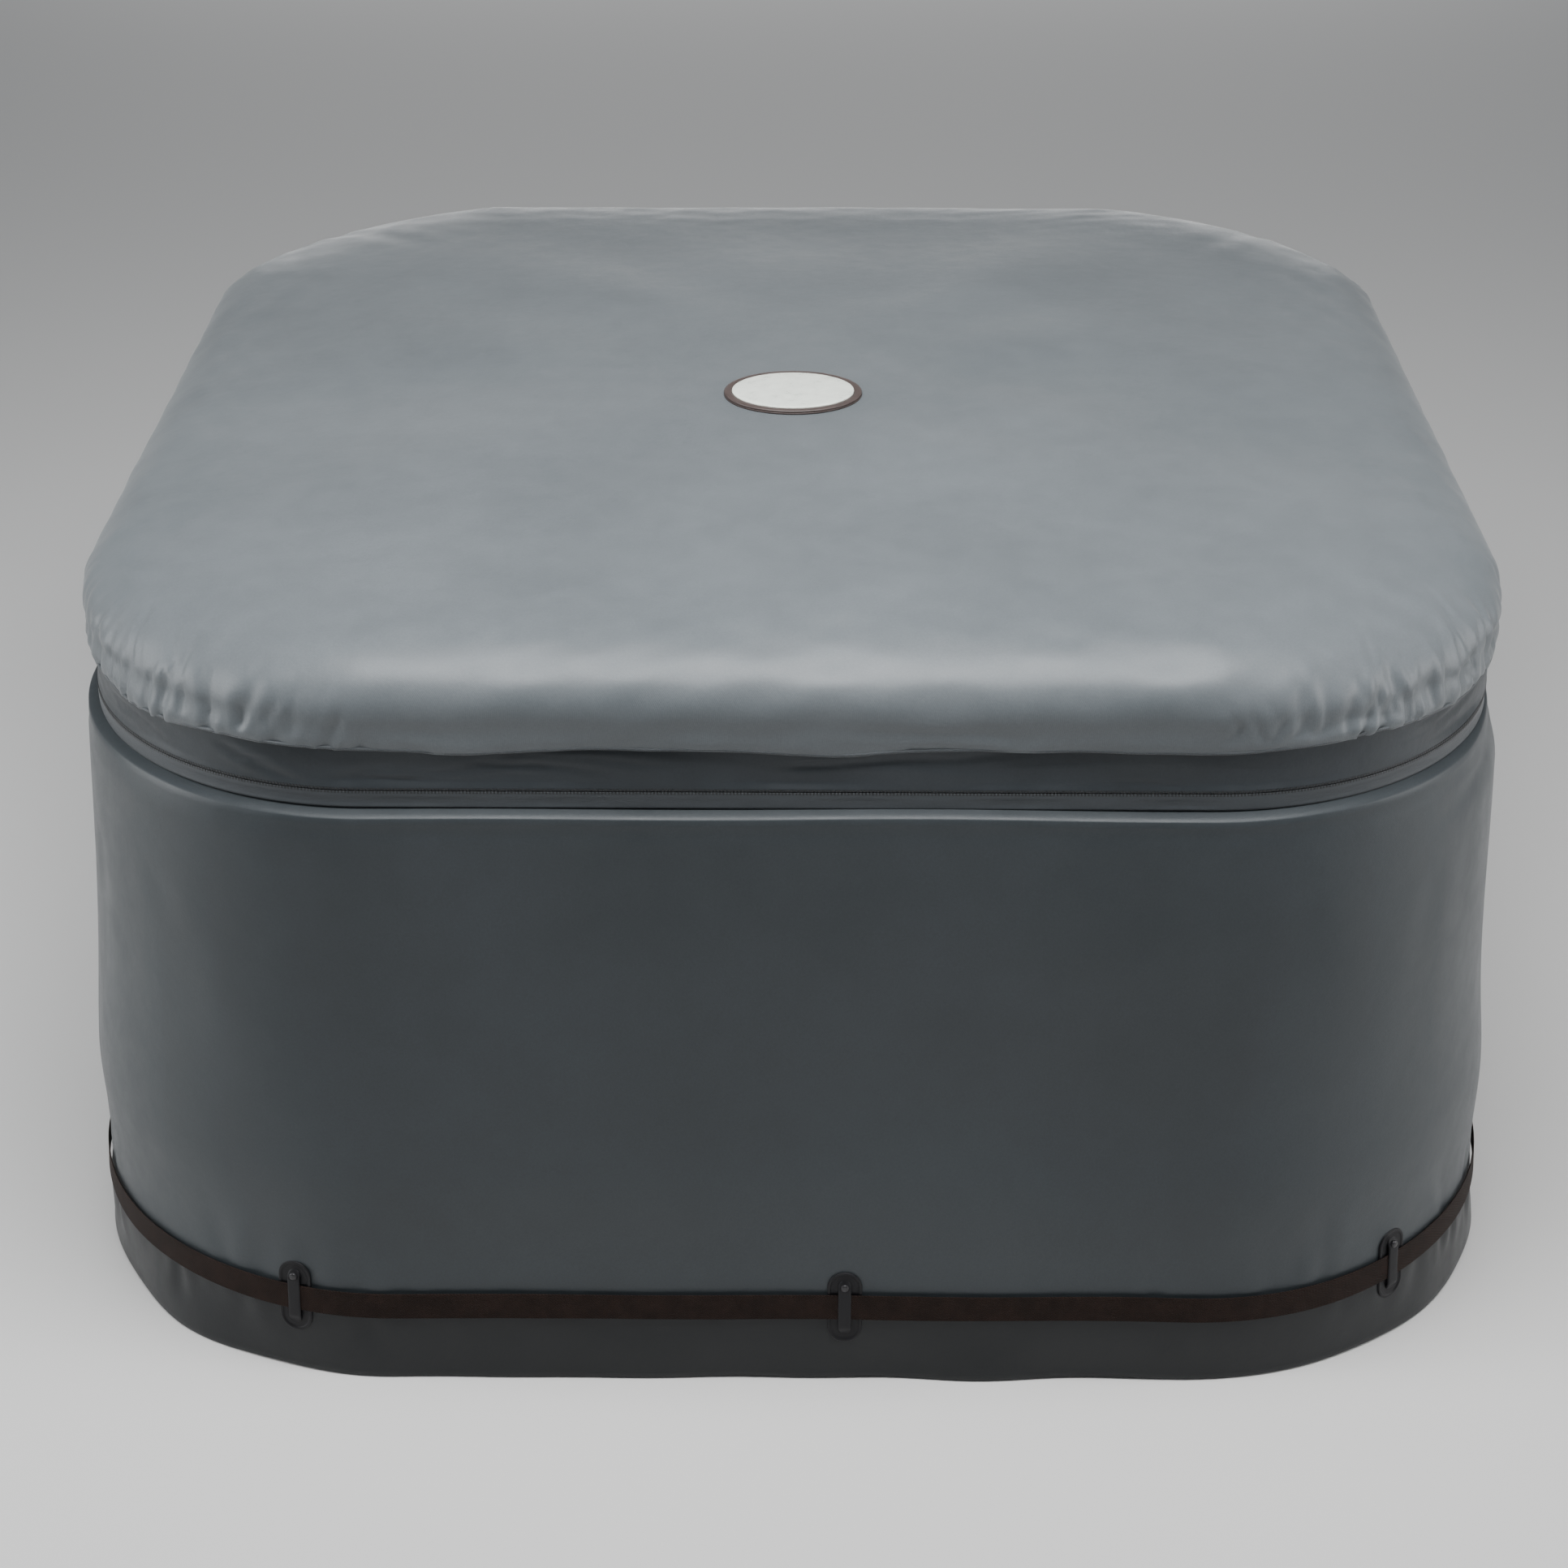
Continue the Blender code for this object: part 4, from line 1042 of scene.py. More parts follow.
class Jacket:
    """Side of the cover with its tape, teeth, belt, keepers and buckle.

    Attributes:
        window: Width, height and corner radius of the service opening.
        window_z: Height of its middle.
        binding_width: Width of the binding round it.
        puff: How far the cloth stands out below the shoulder.
        belt_ends: Where the webbing stops on both sides of the buckle, along x.
        buckle_half: Width, height and depth of one half of the buckle.
        buckle_offset: From the buckle's middle to the middle of a half.
    """

    window = (0.480, 0.260, 0.040)
    window_z = 0.300
    binding_width = 0.014
    puff = 0.010
    belt_ends = (-0.029, 0.019)
    buckle_half = (0.0444, 0.0436, 0.0093)
    buckle_offset = 0.0225

    def __init__(self, finishes: Materials) -> None:
        """Keep the materials by name."""
        self.finishes = finishes

    def creases(self) -> list[Crease]:
        """Puckers at the belt, folds in the hem and long faint folds down the corners."""
        rng = np.random.default_rng(61)
        below, above = SIZE.belt_middle - 0.016, SIZE.belt_middle + 0.018
        up = math.pi / 2
        at_corners = (
            (-up, Folds(16, (-0.36, 0.36), below, (-0.25, 0.25), (0.05, 0.09), (0.006, 0.012),
                        (0.0008, 0.0026))),
            (up, Folds(9, (-0.36, 0.36), above, (-0.3, 0.3), (0.05, 0.16), (0.007, 0.014),
                       (0.0006, 0.0018))),
            (-up, Folds(7, (-0.42, 0.42), (0.55, 0.73), (-0.2, 0.2), (0.2, 0.45), (0.018, 0.03),
                        (0.0006, 0.0014), 0.2)))
        on_sides = (
            (-up, Folds(9, (-0.48, 0.48), below, (-0.35, 0.35), (0.03, 0.09), (0.006, 0.012),
                        (0.0005, 0.0016))),
            (up, Folds(4, (-0.45, 0.45), above, (-0.5, 0.5), (0.04, 0.1), (0.006, 0.012),
                       (0.0004, 0.001))))
        quarter = RING.around / 4
        spots = [(place, at_corners) for place in RING.corner_places()]
        spots += [(side * quarter, on_sides) for side in range(4)]
        return [crease for middle, batches in spots for turn, folds in batches
                for crease in folds.drawn(rng, middle, turn)]

    def contour(self) -> Array:
        """Hem, side and rolled shoulder."""
        fold = SIZE.jacket_top - SIZE.shoulder_roll
        side = resample([(SIZE.jacket_hem, SIZE.hem_lift), (SIZE.jacket_top, SIZE.roll_z)], 92)
        hem = [(SIZE.jacket_hem - 0.001, SIZE.hem_lift),
               (SIZE.jacket_hem + 0.0002, SIZE.hem_lift + 0.002)]
        roll = bow((fold, SIZE.roll_z), (SIZE.shoulder_roll, SIZE.shoulder_roll), 0, 96, 12)
        return np.array(hem + side[1:-1].tolist() + roll)

    def cloth(self) -> Object:
        """The jacket, with an opening for hoses at the rear."""
        creases = self.creases()
        top = SIZE.roll_z - SIZE.hem_lift

        def lift(s: Array, t: Array) -> Array:
            """Creases, a hollow along the sides, slow waves, a tuck at the belt and a fluttering hem."""
            corner = np.interp(s, RING.s[:-1], RING.corner)
            billow = -0.0035 * np.sin(math.pi * (t / top).clip(0, 1)) ** 2 * (1 - corner)
            soft = 0.0018 * ripple(s, t, (0.75, 0.5), 62) * smooth(0.14, 0.3, t)
            tuck = -0.0012 * np.exp(-((t - SIZE.belt_middle) / 0.016) ** 2)
            bead = -0.0018 * np.exp(-((t - top + 0.012) / 0.0050) ** 2)
            flutter = 0.0022 * ripple(s, t, (0.24, 0.5), 63) * (1 - smooth(0.0, 0.075, t))
            hold = 1 - smooth(top - 0.012, top, t)
            return hold * (billow + soft + tuck + flutter + creases_lift(creases, s, t)) + bead

        def drop(s: Array, t: Array) -> Array:
            """Slow waves along the shoulder."""
            return 0.0010 * ripple(s, 0 * s, (0.5, 1), 64) * smooth(top - 0.03, top, t)

        def swell(s: Array, t: Array) -> Array:
            """A puff below the shoulder, clear of the zip slider's side and of the rear hinge."""
            slides = 0.75 * RING.around - SIZE.straight
            clear = 1 - smooth(slides - 0.35, slides - 0.05, s)
            below = smooth(top - 0.008, top - 0.075, t)
            ledge = clear * (1 - smooth(top + 0.001, top + 0.0118, t))
            rise = smooth(SIZE.belt_middle + 0.02, 0.3, t)
            off_hinge = smooth(0.42, 0.62, np.minimum(s, RING.around - s))
            return self.puff * rise * off_hinge * np.maximum(below, ledge)

        sweep = Sweep(self.contour(), SIZE.cloth, lift, drop, swell, back_rows=16)
        made = sweep.shape().build("jacket_cloth", [self.finishes["jacket_cloth"]])
        opening = Shape().plate(rounded(*self.window, 12), [(0, 0), (0, 0.2)],
                                facing_rear(0, SIZE.tub_half - 0.004, self.window_z))
        cut(made, opening.build("opening", []))
        finish_piece(made, Body.TUB.value, ["jacket_side"])
        sweep.flat()
        self.window_binding()
        return made

    def window_binding(self) -> Object:
        """Welded binding round the opening."""
        wide, tall, radius = self.window
        inner = rounded(wide, tall, radius, 12)
        outer = rounded(wide + 2 * self.binding_width, tall + 2 * self.binding_width,
                        radius + self.binding_width, 12)
        levels = ((outer, 0.0, -0.0040), (outer, 0.0, 0.0002), (outer, 0.0012, 0.0008),
                  (inner, -0.0016, 0.0012), (inner, 0.0004, -0.0052))
        rows = np.stack([np.column_stack([points - inset * normals, np.full(len(points), height)])
                         for (points, normals), inset, height in levels])
        shape = Shape().grid(moved(rows, on_rear_jacket(self.window_z)), closed=True)
        made = shape.build("service_window_binding", [self.finishes["binding"]], 50)
        return finish_piece(made, Body.TUB.value, [])

    def tape(self) -> Object:
        """Lower half of the zip's tape, standing on the shoulder."""
        low, high = SIZE.shoulder + SIZE.gap, SIZE.zip_z - SIZE.zip_gap / 2
        contour = resample([(SIZE.tape_half, low), (SIZE.tape_half, high)], 12)
        tall = high - low

        def lift(s: Array, t: Array) -> Array:
            """A slightly wavy hollow between its two edges."""
            held = smooth(0.0, 0.006, t) * (1 - smooth(tall - 0.011, tall - 0.005, t))
            return -held * (0.0006 + 0.0004 * ripple(s, t, (0.14, 0.2), 65))

        sweep = Sweep(contour, SIZE.tape_cloth, lift, back_rows=6)
        made = sweep.shape().build("jacket_zip_tape", [self.finishes["tape_cloth"]])
        finish_piece(made, Body.TUB.value, ["zipper_lower_tape"])
        sweep.flat()
        return made

    def belt(self) -> Object:
        """Belt webbing, open at the buckle."""
        low = SIZE.belt_middle - SIZE.belt_height / 2
        high = SIZE.belt_middle + SIZE.belt_height / 2
        outer = 3 * SIZE.gap + SIZE.keeper_plate + SIZE.belt_thick
        z = np.array([low, low + 0.0004, low + 0.0012, *np.linspace(low + 0.004, high - 0.004, 8),
                      high - 0.0012, high - 0.0004, high])
        ease = np.array([0.0006, 0.0001] + [0.0] * (len(z) - 4) + [0.0001, 0.0006])
        contour = np.column_stack([SIZE.jacket_at(z) + outer - ease, z])
        base = RING.sweep(contour)
        out = RING.outward(contour)
        grid_s, grid_t = np.meshgrid(RING.s[:-1], lengths(contour))
        base += (0.0004 * ripple(grid_s, grid_t, (0.3, 0.2), 71).clip(-1, 1))[..., None] * out
        base[..., 2] += 0.0012 * ripple(grid_s, 0 * grid_s, (0.45, 1), 72)
        back = base[::-1] - SIZE.belt_thick * out[::-1]
        whole = np.concatenate([back, base])
        left, right = self.belt_ends
        x = whole[0, :, 0]
        rear = whole[0, :, 1] > 0.8
        keep = ~(rear & (x > left) & (x < right))
        order = np.roll(np.arange(len(x)), -int(np.argmin(keep)) if not keep[0] else 0)
        whole = whole[:, order[keep[order]]]
        first, last = whole[:, :1].copy(), whole[:, -1:].copy()
        first[..., 0], last[..., 0] = left, right
        whole = np.concatenate([first, whole, last], 1)
        marks = lengths(whole[0]), np.concatenate([contour[::-1, 1], contour[:, 1]])
        shape = Shape().grid(whole, marks, around=False, closed=True)
        rows = len(contour)
        for column in (0, -1):
            side = np.stack([whole[:rows, column][::-1], whole[rows:, column]])
            shape.grid(side if column else side[::-1], around=False)
        made = shape.build("belt_webbing", [self.finishes["webbing"]], 60, weld=True)
        finish_piece(made, Body.TUB.value, ["belt"])
        return made

    def keeper_place(self, node: str) -> Matrix:
        """Upright place on the jacket in front of a CAD keeper, +z outwards and +y up.

        Args:
            node: The CAD keeper.

        Returns:
            The place, straight out from the nearest point of the ring's anchors.
        """
        low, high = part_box(node)
        spot = np.array([(low.x + high.x) / 2, (low.y + high.y) / 2])
        anchor = np.clip(spot, -SIZE.straight, SIZE.straight)
        out = (spot - anchor) / np.linalg.norm(spot - anchor)
        foot = anchor + out * (SIZE.jacket_at(SIZE.belt_middle) - SIZE.straight)
        turn = math.atan2(out[1], out[0]) + math.pi / 2
        lean = math.atan(SIZE.flare)
        return (Matrix.Translation((*foot, SIZE.belt_middle)) @ Matrix.Rotation(turn, 4, "Z")
                @ Matrix.Rotation(math.radians(90) - lean, 4, "X"))

    def keepers(self) -> list[Object]:
        """Soft patch with a raised rim, a strap over the belt and a rivet, nine times."""
        made = []
        plate = SIZE.gap + SIZE.keeper_plate
        strap_z = 3 * SIZE.gap + SIZE.keeper_plate + SIZE.belt_thick + 0.0012
        for index in range(9):
            node = f"belt_loop_{index + 1:02d}"
            place = self.keeper_place(node)
            shape = Shape()
            outline = rounded(SIZE.keeper_width, SIZE.keeper_length, SIZE.keeper_width / 2 - 1e-4, 14)
            shape.plate(outline, [(0.0, -0.0012), (0.0, plate - 0.0006), (0.0004, plate - 0.0001),
                                  (0.0012, plate + 0.0001), (0.0030, plate + 0.0001),
                                  (0.0038, plate - 0.0003), (0.0042, plate - 0.0008),
                                  (0.0046, plate - 0.0010), (0.008, plate - 0.0010)], place)
            self._strap(shape, place, plate - 0.0010, strap_z)
            rivet = Matrix.Translation((0, SIZE.strip_length / 2 - 0.0085, 0))
            head = ((0.0049, -0.001), (0.0049, 0.0010), (0.0044, 0.0018), (0.0034, 0.0023),
                    (0.0018, 0.0026), (0.0002, 0.0027))
            shape.turned([(radius, strap_z + rise) for radius, rise in head], place @ rivet, 28, slot=1)
            piece = shape.build(f"belt_keeper_{index + 1:02d}",
                                [self.finishes["rubber"], self.finishes["rivet"]], 50)
            made.append(finish_piece(piece, Body.TUB.value, [node]))
        return made

    @staticmethod
    def _strap(shape: Shape, place: Matrix, low: float, high: float) -> None:
        """Strip from end to end of the keeper, arched over the belt.

        Args:
            shape: What it is added to.
            place: The keeper's place.
            low: Height of its ends.
            high: Height of its arch.
        """
        half, long = SIZE.strip_width / 2, SIZE.strip_length / 2
        y = np.concatenate([np.linspace(-long, -long + 0.006, 6),
                            np.linspace(-long + 0.008, long - 0.008, 26),
                            np.linspace(long - 0.006, long, 6)])
        tip = np.sqrt(np.clip(1 - ((np.abs(y) - (long - half)).clip(0) / half) ** 2, 0.003, 1))
        rise = low + (high - low + 0.0008) * smooth(long + 0.001, long - 0.013, np.abs(y))
        turns = np.linspace(0, math.pi, 9)
        columns = []
        for turn in turns:
            x = -half * math.cos(turn)
            edge = math.sin(turn) ** 0.35
            columns.append(np.stack([x * tip, y, rise - 0.0009 * (1 - edge)], 1))
        top = np.stack(columns, 1)
        bottom = top[:, ::-1].copy()
        bottom[..., 2] -= 0.0018
        whole = np.concatenate([top, bottom], 1).transpose(1, 0, 2)
        shape.grid(moved(whole[:, ::-1], place), around=False, closed=True)
        for end in (0, -1):
            flat = np.stack([top[end], bottom[end][::-1]])
            shape.grid(moved(flat if end else flat[::-1], place), around=False)

    def buckle(self) -> list[Object]:
        """Side-release buckle at the rear: a socket on one end of the belt, a prong on the other."""
        def at(x: float, y: float = 0.0, z: float = 0.0) -> Matrix:
            """Place on the jacket's rear at the belt."""
            return on_rear_jacket(SIZE.belt_middle) @ Matrix.Translation((x, y, z))

        made = []
        wide, tall, deep = self.buckle_half
        half = rounded(wide, tall, 0.007), edge_levels(deep, 0.0022, 0.0004)
        socket = Shape().plate(*half, at(-self.buckle_offset))
        for side in (-1, 1):
            socket.plate(rounded(0.018, 0.0035, 0.0016), edge_levels(0.0012, 0.0005, deep - 0.0004),
                         at(-0.019, side * 0.013))
        piece = socket.build("buckle_socket", [self.finishes["buckle"]], 50)
        made.append(finish_piece(piece, Body.TUB.value, ["buckle_female"]))
        prong = Shape().plate(*half, at(self.buckle_offset))
        prong.plate(rounded(0.026, 0.028, 0.005), edge_levels(0.0022, 0.0006, 0.0058), at(-0.0075))
        for offset in (-0.006, 0.0, 0.006):
            prong.plate(rounded(0.0022, 0.030, 0.001), edge_levels(0.0010, 0.0004, deep - 0.0003),
                        at(0.028 + offset))
        piece = prong.build("buckle_prong", [self.finishes["buckle"]], 50)
        sleeve = Shape().plate(rounded(0.060, SIZE.belt_height + 0.0050, 0.0002), [(0, 0), (0, 0.0027)],
                               at(self.buckle_offset, 0, 0.0023))
        cut(piece, sleeve.build("belt_slot", []))
        made.append(finish_piece(piece, Body.PRONG.value, ["buckle_male"]))
        return made

    def slider(self) -> list[Object]:
        """Zip slider and its hanging pull."""
        low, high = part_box("zipper_slider")
        middle_y = (low.y + high.y) / 2
        front = SIZE.tape_half + SIZE.gap

        def at(x: float, z: float = SIZE.zip_z, aside: float = 0.0) -> Matrix:
            """Place on the right side, +z outwards."""
            return (Matrix.Translation((x, middle_y + aside, z))
                    @ Matrix.Rotation(math.radians(90), 4, "Y"))

        outline = rounded(0.0118, 0.0278, 0.004)
        body = Shape()
        body.plate(outline, edge_levels(0.0030, 0.0009), at(front))
        body.plate(outline, edge_levels(0.0016, 0.0004), at(low.x))
        body.plate(rounded(0.0008, 0.024, 0.0003), [(0, 0), (0, 0.0045)], at(low.x + 0.001))
        for side in (-1, 1):
            body.plate(rounded(0.0050, 0.0015, 0.0006), edge_levels(0.0042, 0.0005),
                       at(front + 0.0022, SIZE.zip_z + 0.003, side * 0.00555))
        made = [finish_piece(body.build("zip_slider", [self.finishes["metal"]], 40), Body.SLIDER.value,
                             ["zipper_slider"])]
        low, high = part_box("zipper_pull")
        long, wide = high.z - low.z, high.y - low.y
        tab = Shape()
        tab.plate(rounded(long, wide, wide / 2 - 1e-4, 12),
                  [(0.0003, 0), (0, 0.0003), (0, 0.0011), (0.0004, 0.0014), (0.0013, 0.0015),
                   (0.0019, 0.0012), (0.0024, 0.0011)], at(low.x, (low.z + high.z) / 2))
        made.append(finish_piece(tab.build("zip_pull", [self.finishes["metal"]], 40), Body.PULL.value,
                                 ["zipper_pull"]))
        return made


class Tub:
    """The tub under the cover, and the fittings in its rear wall.

    Attributes:
        ports: x, height, outer and inner radius of the three hose ports.
        drain: The same for the drain.
        valve: The same for the inflation valve.
        drill_reach: How far a drill starts before the liner's face and ends behind it.
    """

    ports = {"inlet": (-0.150, 0.250, 0.025, 0.020), "outlet": (0.150, 0.250, 0.025, 0.020),
             "air": (0.0, 0.330, 0.019, 0.014)}
    drain = (-0.340, 0.075, 0.015, 0.0105)
    valve = (0.190, 0.365, 0.016, 0.010)
    drill_reach = 0.05

    def __init__(self, finishes: Materials) -> None:
        """Keep the materials by name."""
        self.finishes = finishes
        self.face = SIZE.inner_half - SIZE.film - SIZE.gap

    @staticmethod
    def puff(s: Array) -> Array:
        """0 at the webs, rising to 1 between them, and 0 near the fittings.

        Args:
            s: Metres round.

        Returns:
            One less a bell curve at each web, times a step away from the middle of the rear.
        """
        quarter = RING.around / 4
        off = (s + quarter / 2) % quarter - quarter / 2
        web = np.exp(-((np.abs(off) - SIZE.web_offset) / 0.022) ** 2)
        rear = np.minimum(s, RING.around - s)
        return (1 - web) * smooth(0.36, 0.46, rear)

    def skins(self) -> list[Object]:
        """Outer skin with the rim, and the liner's wall, both drilled for the fittings."""
        mid_low = (SIZE.tub_half - SIZE.base_fold, SIZE.wall_base + SIZE.base_fold)
        mid_high = (SIZE.tub_half - SIZE.rim_fold, SIZE.tub_height - SIZE.rim_fold)
        outline = [(half, SIZE.wall_base) for half in np.linspace(SIZE.inner_half, mid_low[0], 8)[:-1]]
        outline += bow(mid_low, (SIZE.base_fold, SIZE.base_fold), -90, 0, 10)
        outline += [(SIZE.tub_half, z) for z in np.linspace(mid_low[1], mid_high[1], 44)[1:-1]]
        outline += bow(mid_high, (SIZE.rim_fold, SIZE.rim_fold), 0, 90, 16)
        outline += [(half, SIZE.tub_height) for half in
                    np.linspace(mid_high[0], SIZE.inner_half - SIZE.film, 14)[1:]]
        contour = np.array(outline)
        start = float(lengths(contour)[8 + 9])
        top = float(lengths(contour)[-1])

        def skin_lift(s: Array, t: Array) -> Array:
            """Puffs between the webs, a narrow weld under the rim, and slow waves."""
            body = smooth(start, start + 0.08, t) * (1 - smooth(top - 0.26, top - 0.12, t))
            weld = -0.0008 * np.exp(-((t - top + 0.035) / 0.002) ** 2)
            return 0.0040 * self.puff(s) * body + weld + 0.0004 * ripple(s, t, (0.2, 0.2), 81)

        outer = Sweep(contour, SIZE.film, skin_lift, back_rows=18)
        skin = outer.shape().build("outer_skin", [self.finishes["skin"]])
        wall = resample([(SIZE.inner_half - SIZE.film, SIZE.tub_height - SIZE.film - SIZE.gap),
                         (SIZE.inner_half - SIZE.film, SIZE.wall_base)], 56)
        deep = float(lengths(wall)[-1])

        def liner_lift(s: Array, t: Array) -> Array:
            """Puffs between the webs and slow waves, away from both edges."""
            body = smooth(0.0, 0.09, t) * (1 - smooth(deep - 0.16, deep - 0.05, t))
            return body * (0.0055 * self.puff(s) + 0.0005 * ripple(s, t, (0.12, 0.1), 82))

        inner = Sweep(wall, SIZE.film, liner_lift, back_rows=12)
        liner = inner.shape().build("liner_wall", [self.finishes["liner"]])
        through = [*self.ports.values(), self.drain]
        self.drill(skin, self.face + self.drill_reach, [*through, self.valve])
        self.drill(liner, self.face - self.drill_reach, through)
        finish_piece(skin, Body.TUB.value, ["outer_wall"])
        finish_piece(liner, Body.TUB.value, ["inner_wall"])
        outer.flat()
        inner.flat()
        return [skin, liner]

    @staticmethod
    def drill(piece: Object, near: float, holes: Sequence[tuple]) -> None:
        """Round holes through a skin.

        Args:
            piece: The skin.
            near: Where the drills start, along y.
            holes: x, height and outer radius of each.
        """
        drills = Shape()
        for x, z, tube, _ in holes:
            drills.turned([(0.0001, 0), (tube + 0.0005, 0), (tube + 0.0005, 0.12), (0.0001, 0.12)],
                          facing_rear(x, near, z), 40)
        cut(piece, drills.build("drills", []))

    def floor(self) -> list[Object]:
        """Ground cloth, padded floor and the bubble channel round it."""
        half = SIZE.tub_half - SIZE.film
        edge = [(half - 0.002, 0.0), (half, 0.0015), (half, 0.0045), (half - 0.002, 0.006)]
        mat = Shape().grid(RING.sweep(np.array([(0.05, 0.0), *edge, (0.05, 0.006)])), caps="start end")
        ground = mat.build("ground_cloth", [self.finishes["ground"]], 60)
        finish_piece(ground, Body.TUB.value, ["ground_mat"])

        wide = SIZE.tub_half - SIZE.base_fold / 2
        top = SIZE.floor_base + SIZE.floor_thick
        rows = [(0.02, SIZE.floor_base), (wide - 0.002, SIZE.floor_base),
                (wide, SIZE.floor_base + 0.002), (wide, top - 0.002), (wide - 0.002, top)]
        rows += [(h, top) for h in np.linspace(wide - 0.02, 0.02, 110)]
        points = RING.sweep(np.array(rows))
        x, y = points[5:, :, 0], points[5:, :, 1]
        cell = 0.085
        pad = np.abs(np.sin(math.pi * x / cell) * np.sin(math.pi * y / cell)) ** 0.45
        inside = 1 - smooth(0.585, 0.635, np.maximum(np.abs(x), np.abs(y)))
        radius = np.hypot((np.abs(x) - 0.3).clip(0), (np.abs(y) - 0.3).clip(0))
        inside *= 1 - smooth(0.31, 0.345, radius)
        points[5:, :, 2] += 0.0045 * pad * inside
        marks = (RING.s, lengths(np.array(rows)))
        pad_piece = Shape().grid(points, marks, caps="start end").build(
            "floor_pad", [self.finishes["floor"]])
        finish_piece(pad_piece, Body.TUB.value, ["tub_floor"])

        near, far = self.face - SIZE.channel_width, self.face - 0.0002
        height = SIZE.wall_base + SIZE.channel_height
        turn = 0.010
        outline = [(near, SIZE.wall_base + 0.0002)]
        outline += bow((near + turn, height - turn), (turn, turn), 180, 90, 10)
        outline += [(far, height)]
        duct_line = resample(outline, 26)[::-1]

        def duct_lift(s: Array, t: Array) -> Array:
            """Even dents round the tub, a cosine of s."""
            return -0.0010 * (0.5 + 0.5 * np.cos(2 * math.pi * s / 0.0545)) * smooth(0.008, 0.02, t)

        duct = Sweep(duct_line, 0.0018, duct_lift, back_rows=8)
        channel = duct.shape().build("bubble_channel_film", [self.finishes["channel"]])
        finish_piece(channel, Body.TUB.value, ["bubble_channel"])
        long, wide = duct.flat()
        return [ground, pad_piece, channel]

    def fittings(self) -> list[Object]:
        """Ports, strainers, drain and valve, each part its own piece."""
        made = []
        for name, (x, z, tube, bore) in self.ports.items():
            lip = tube + 0.011
            length = SIZE.tub_half + 0.030 - self.face
            made.append(self.pipe(f"{name}_port", f"{name}_fitting", (x, z, tube, bore), lip, length))
            sleeve = tube + SIZE.gap
            place = facing_rear(x, SIZE.tub_half + SIZE.gap, z)
            seal = Shape().turned([(sleeve, 0), (lip - 0.0006, 0), (lip, 0.0006), (lip, 0.0024),
                                   (lip - 0.0006, 0.003), (sleeve, 0.003), (sleeve, 0)], place, 64)
            made.append(finish_piece(seal.build(f"{name}_port_gasket", [self.finishes["seal"]], 45),
                                     Body.TUB.value, [f"{name}_gasket"]))
            place = facing_rear(x, SIZE.tub_half + 0.0036, z)
            lobes = (12, 0.0026, lambda rows, lip=lip: (rows[:, 0] > lip - 0.0015).astype(float))
            nut = Shape().turned([(sleeve, 0), (lip - 0.001, 0), (lip, 0.001), (lip, 0.0085),
                                  (lip - 0.0014, 0.010), (sleeve + 0.001, 0.010), (sleeve, 0.009),
                                  (sleeve, 0)], place, 144, lobes)
            made.append(finish_piece(nut.build(f"{name}_port_lock_nut", [self.finishes["fitting"]], 40),
                                     Body.TUB.value, [f"{name}_lock_nut"]))
            made.append(self.cap(f"{name}_port_cap", f"{name}_cap", (x, z, tube, bore),
                                 self.face + length + SIZE.gap))
            if name != "air":
                made.append(self.strainer(name, x, z, lip))
        length = SIZE.tub_half + 0.017 - self.face
        made.append(self.pipe("drain_port", "drain_fitting", self.drain, self.drain[2] + 0.008, length))
        made.append(self.cap("drain_port_cap", "drain_cap", self.drain, self.face + length + SIZE.gap))
        x, z, tube, bore = self.valve
        lip = tube + 0.008
        valve = Shape().turned([(bore, -0.017), (tube, -0.017), (tube, 0), (lip, 0), (lip, 0.0022),
                                (lip - 0.001, 0.003), (bore + 0.0006, 0.003), (bore, 0.0024),
                                (bore, -0.017)], facing_rear(x, SIZE.tub_half + SIZE.gap, z), 64)
        made.append(finish_piece(valve.build("air_valve", [self.finishes["fitting"]], 40),
                                 Body.TUB.value, ["inflation_valve"]))
        made.append(self.cap("air_valve_cap", "inflation_valve_cap", self.valve,
                             SIZE.tub_half + 0.003 + 2 * SIZE.gap))
        return made

    def pipe(self, name: str, node: str, spec: tuple, lip: float, length: float,
             flange: float = 0.004) -> Object:
        """Flanged tube through the wall, its outer end lightly threaded.

        Args:
            name: The piece's name.
            node: The CAD node.
            spec: x, height, outer and inner radius.
            lip: Radius of the flange.
            length: From the liner's face outwards.
            flange: Its thickness.

        Returns:
            The tube.
        """
        x, z, tube, bore = spec
        ridge = [(tube - (0.0009 if index % 2 else 0.0), length - 0.016 + 0.0012 * index)
                 for index in range(11)]
        profile = [(bore, -flange + 0.0006), (bore + 0.0006, -flange), (lip - 0.0012, -flange),
                   (lip, -flange + 0.0012), (lip, 0), (tube, 0), *ridge, (tube, length - 0.001),
                   (tube - 0.0008, length), (bore + 0.0005, length), (bore, length - 0.0005),
                   (bore, -flange + 0.0006)]
        made = Shape().turned(profile, facing_rear(x, self.face, z), 64).build(
            name, [self.finishes["fitting"]], 40)
        return finish_piece(made, Body.TUB.value, [node])

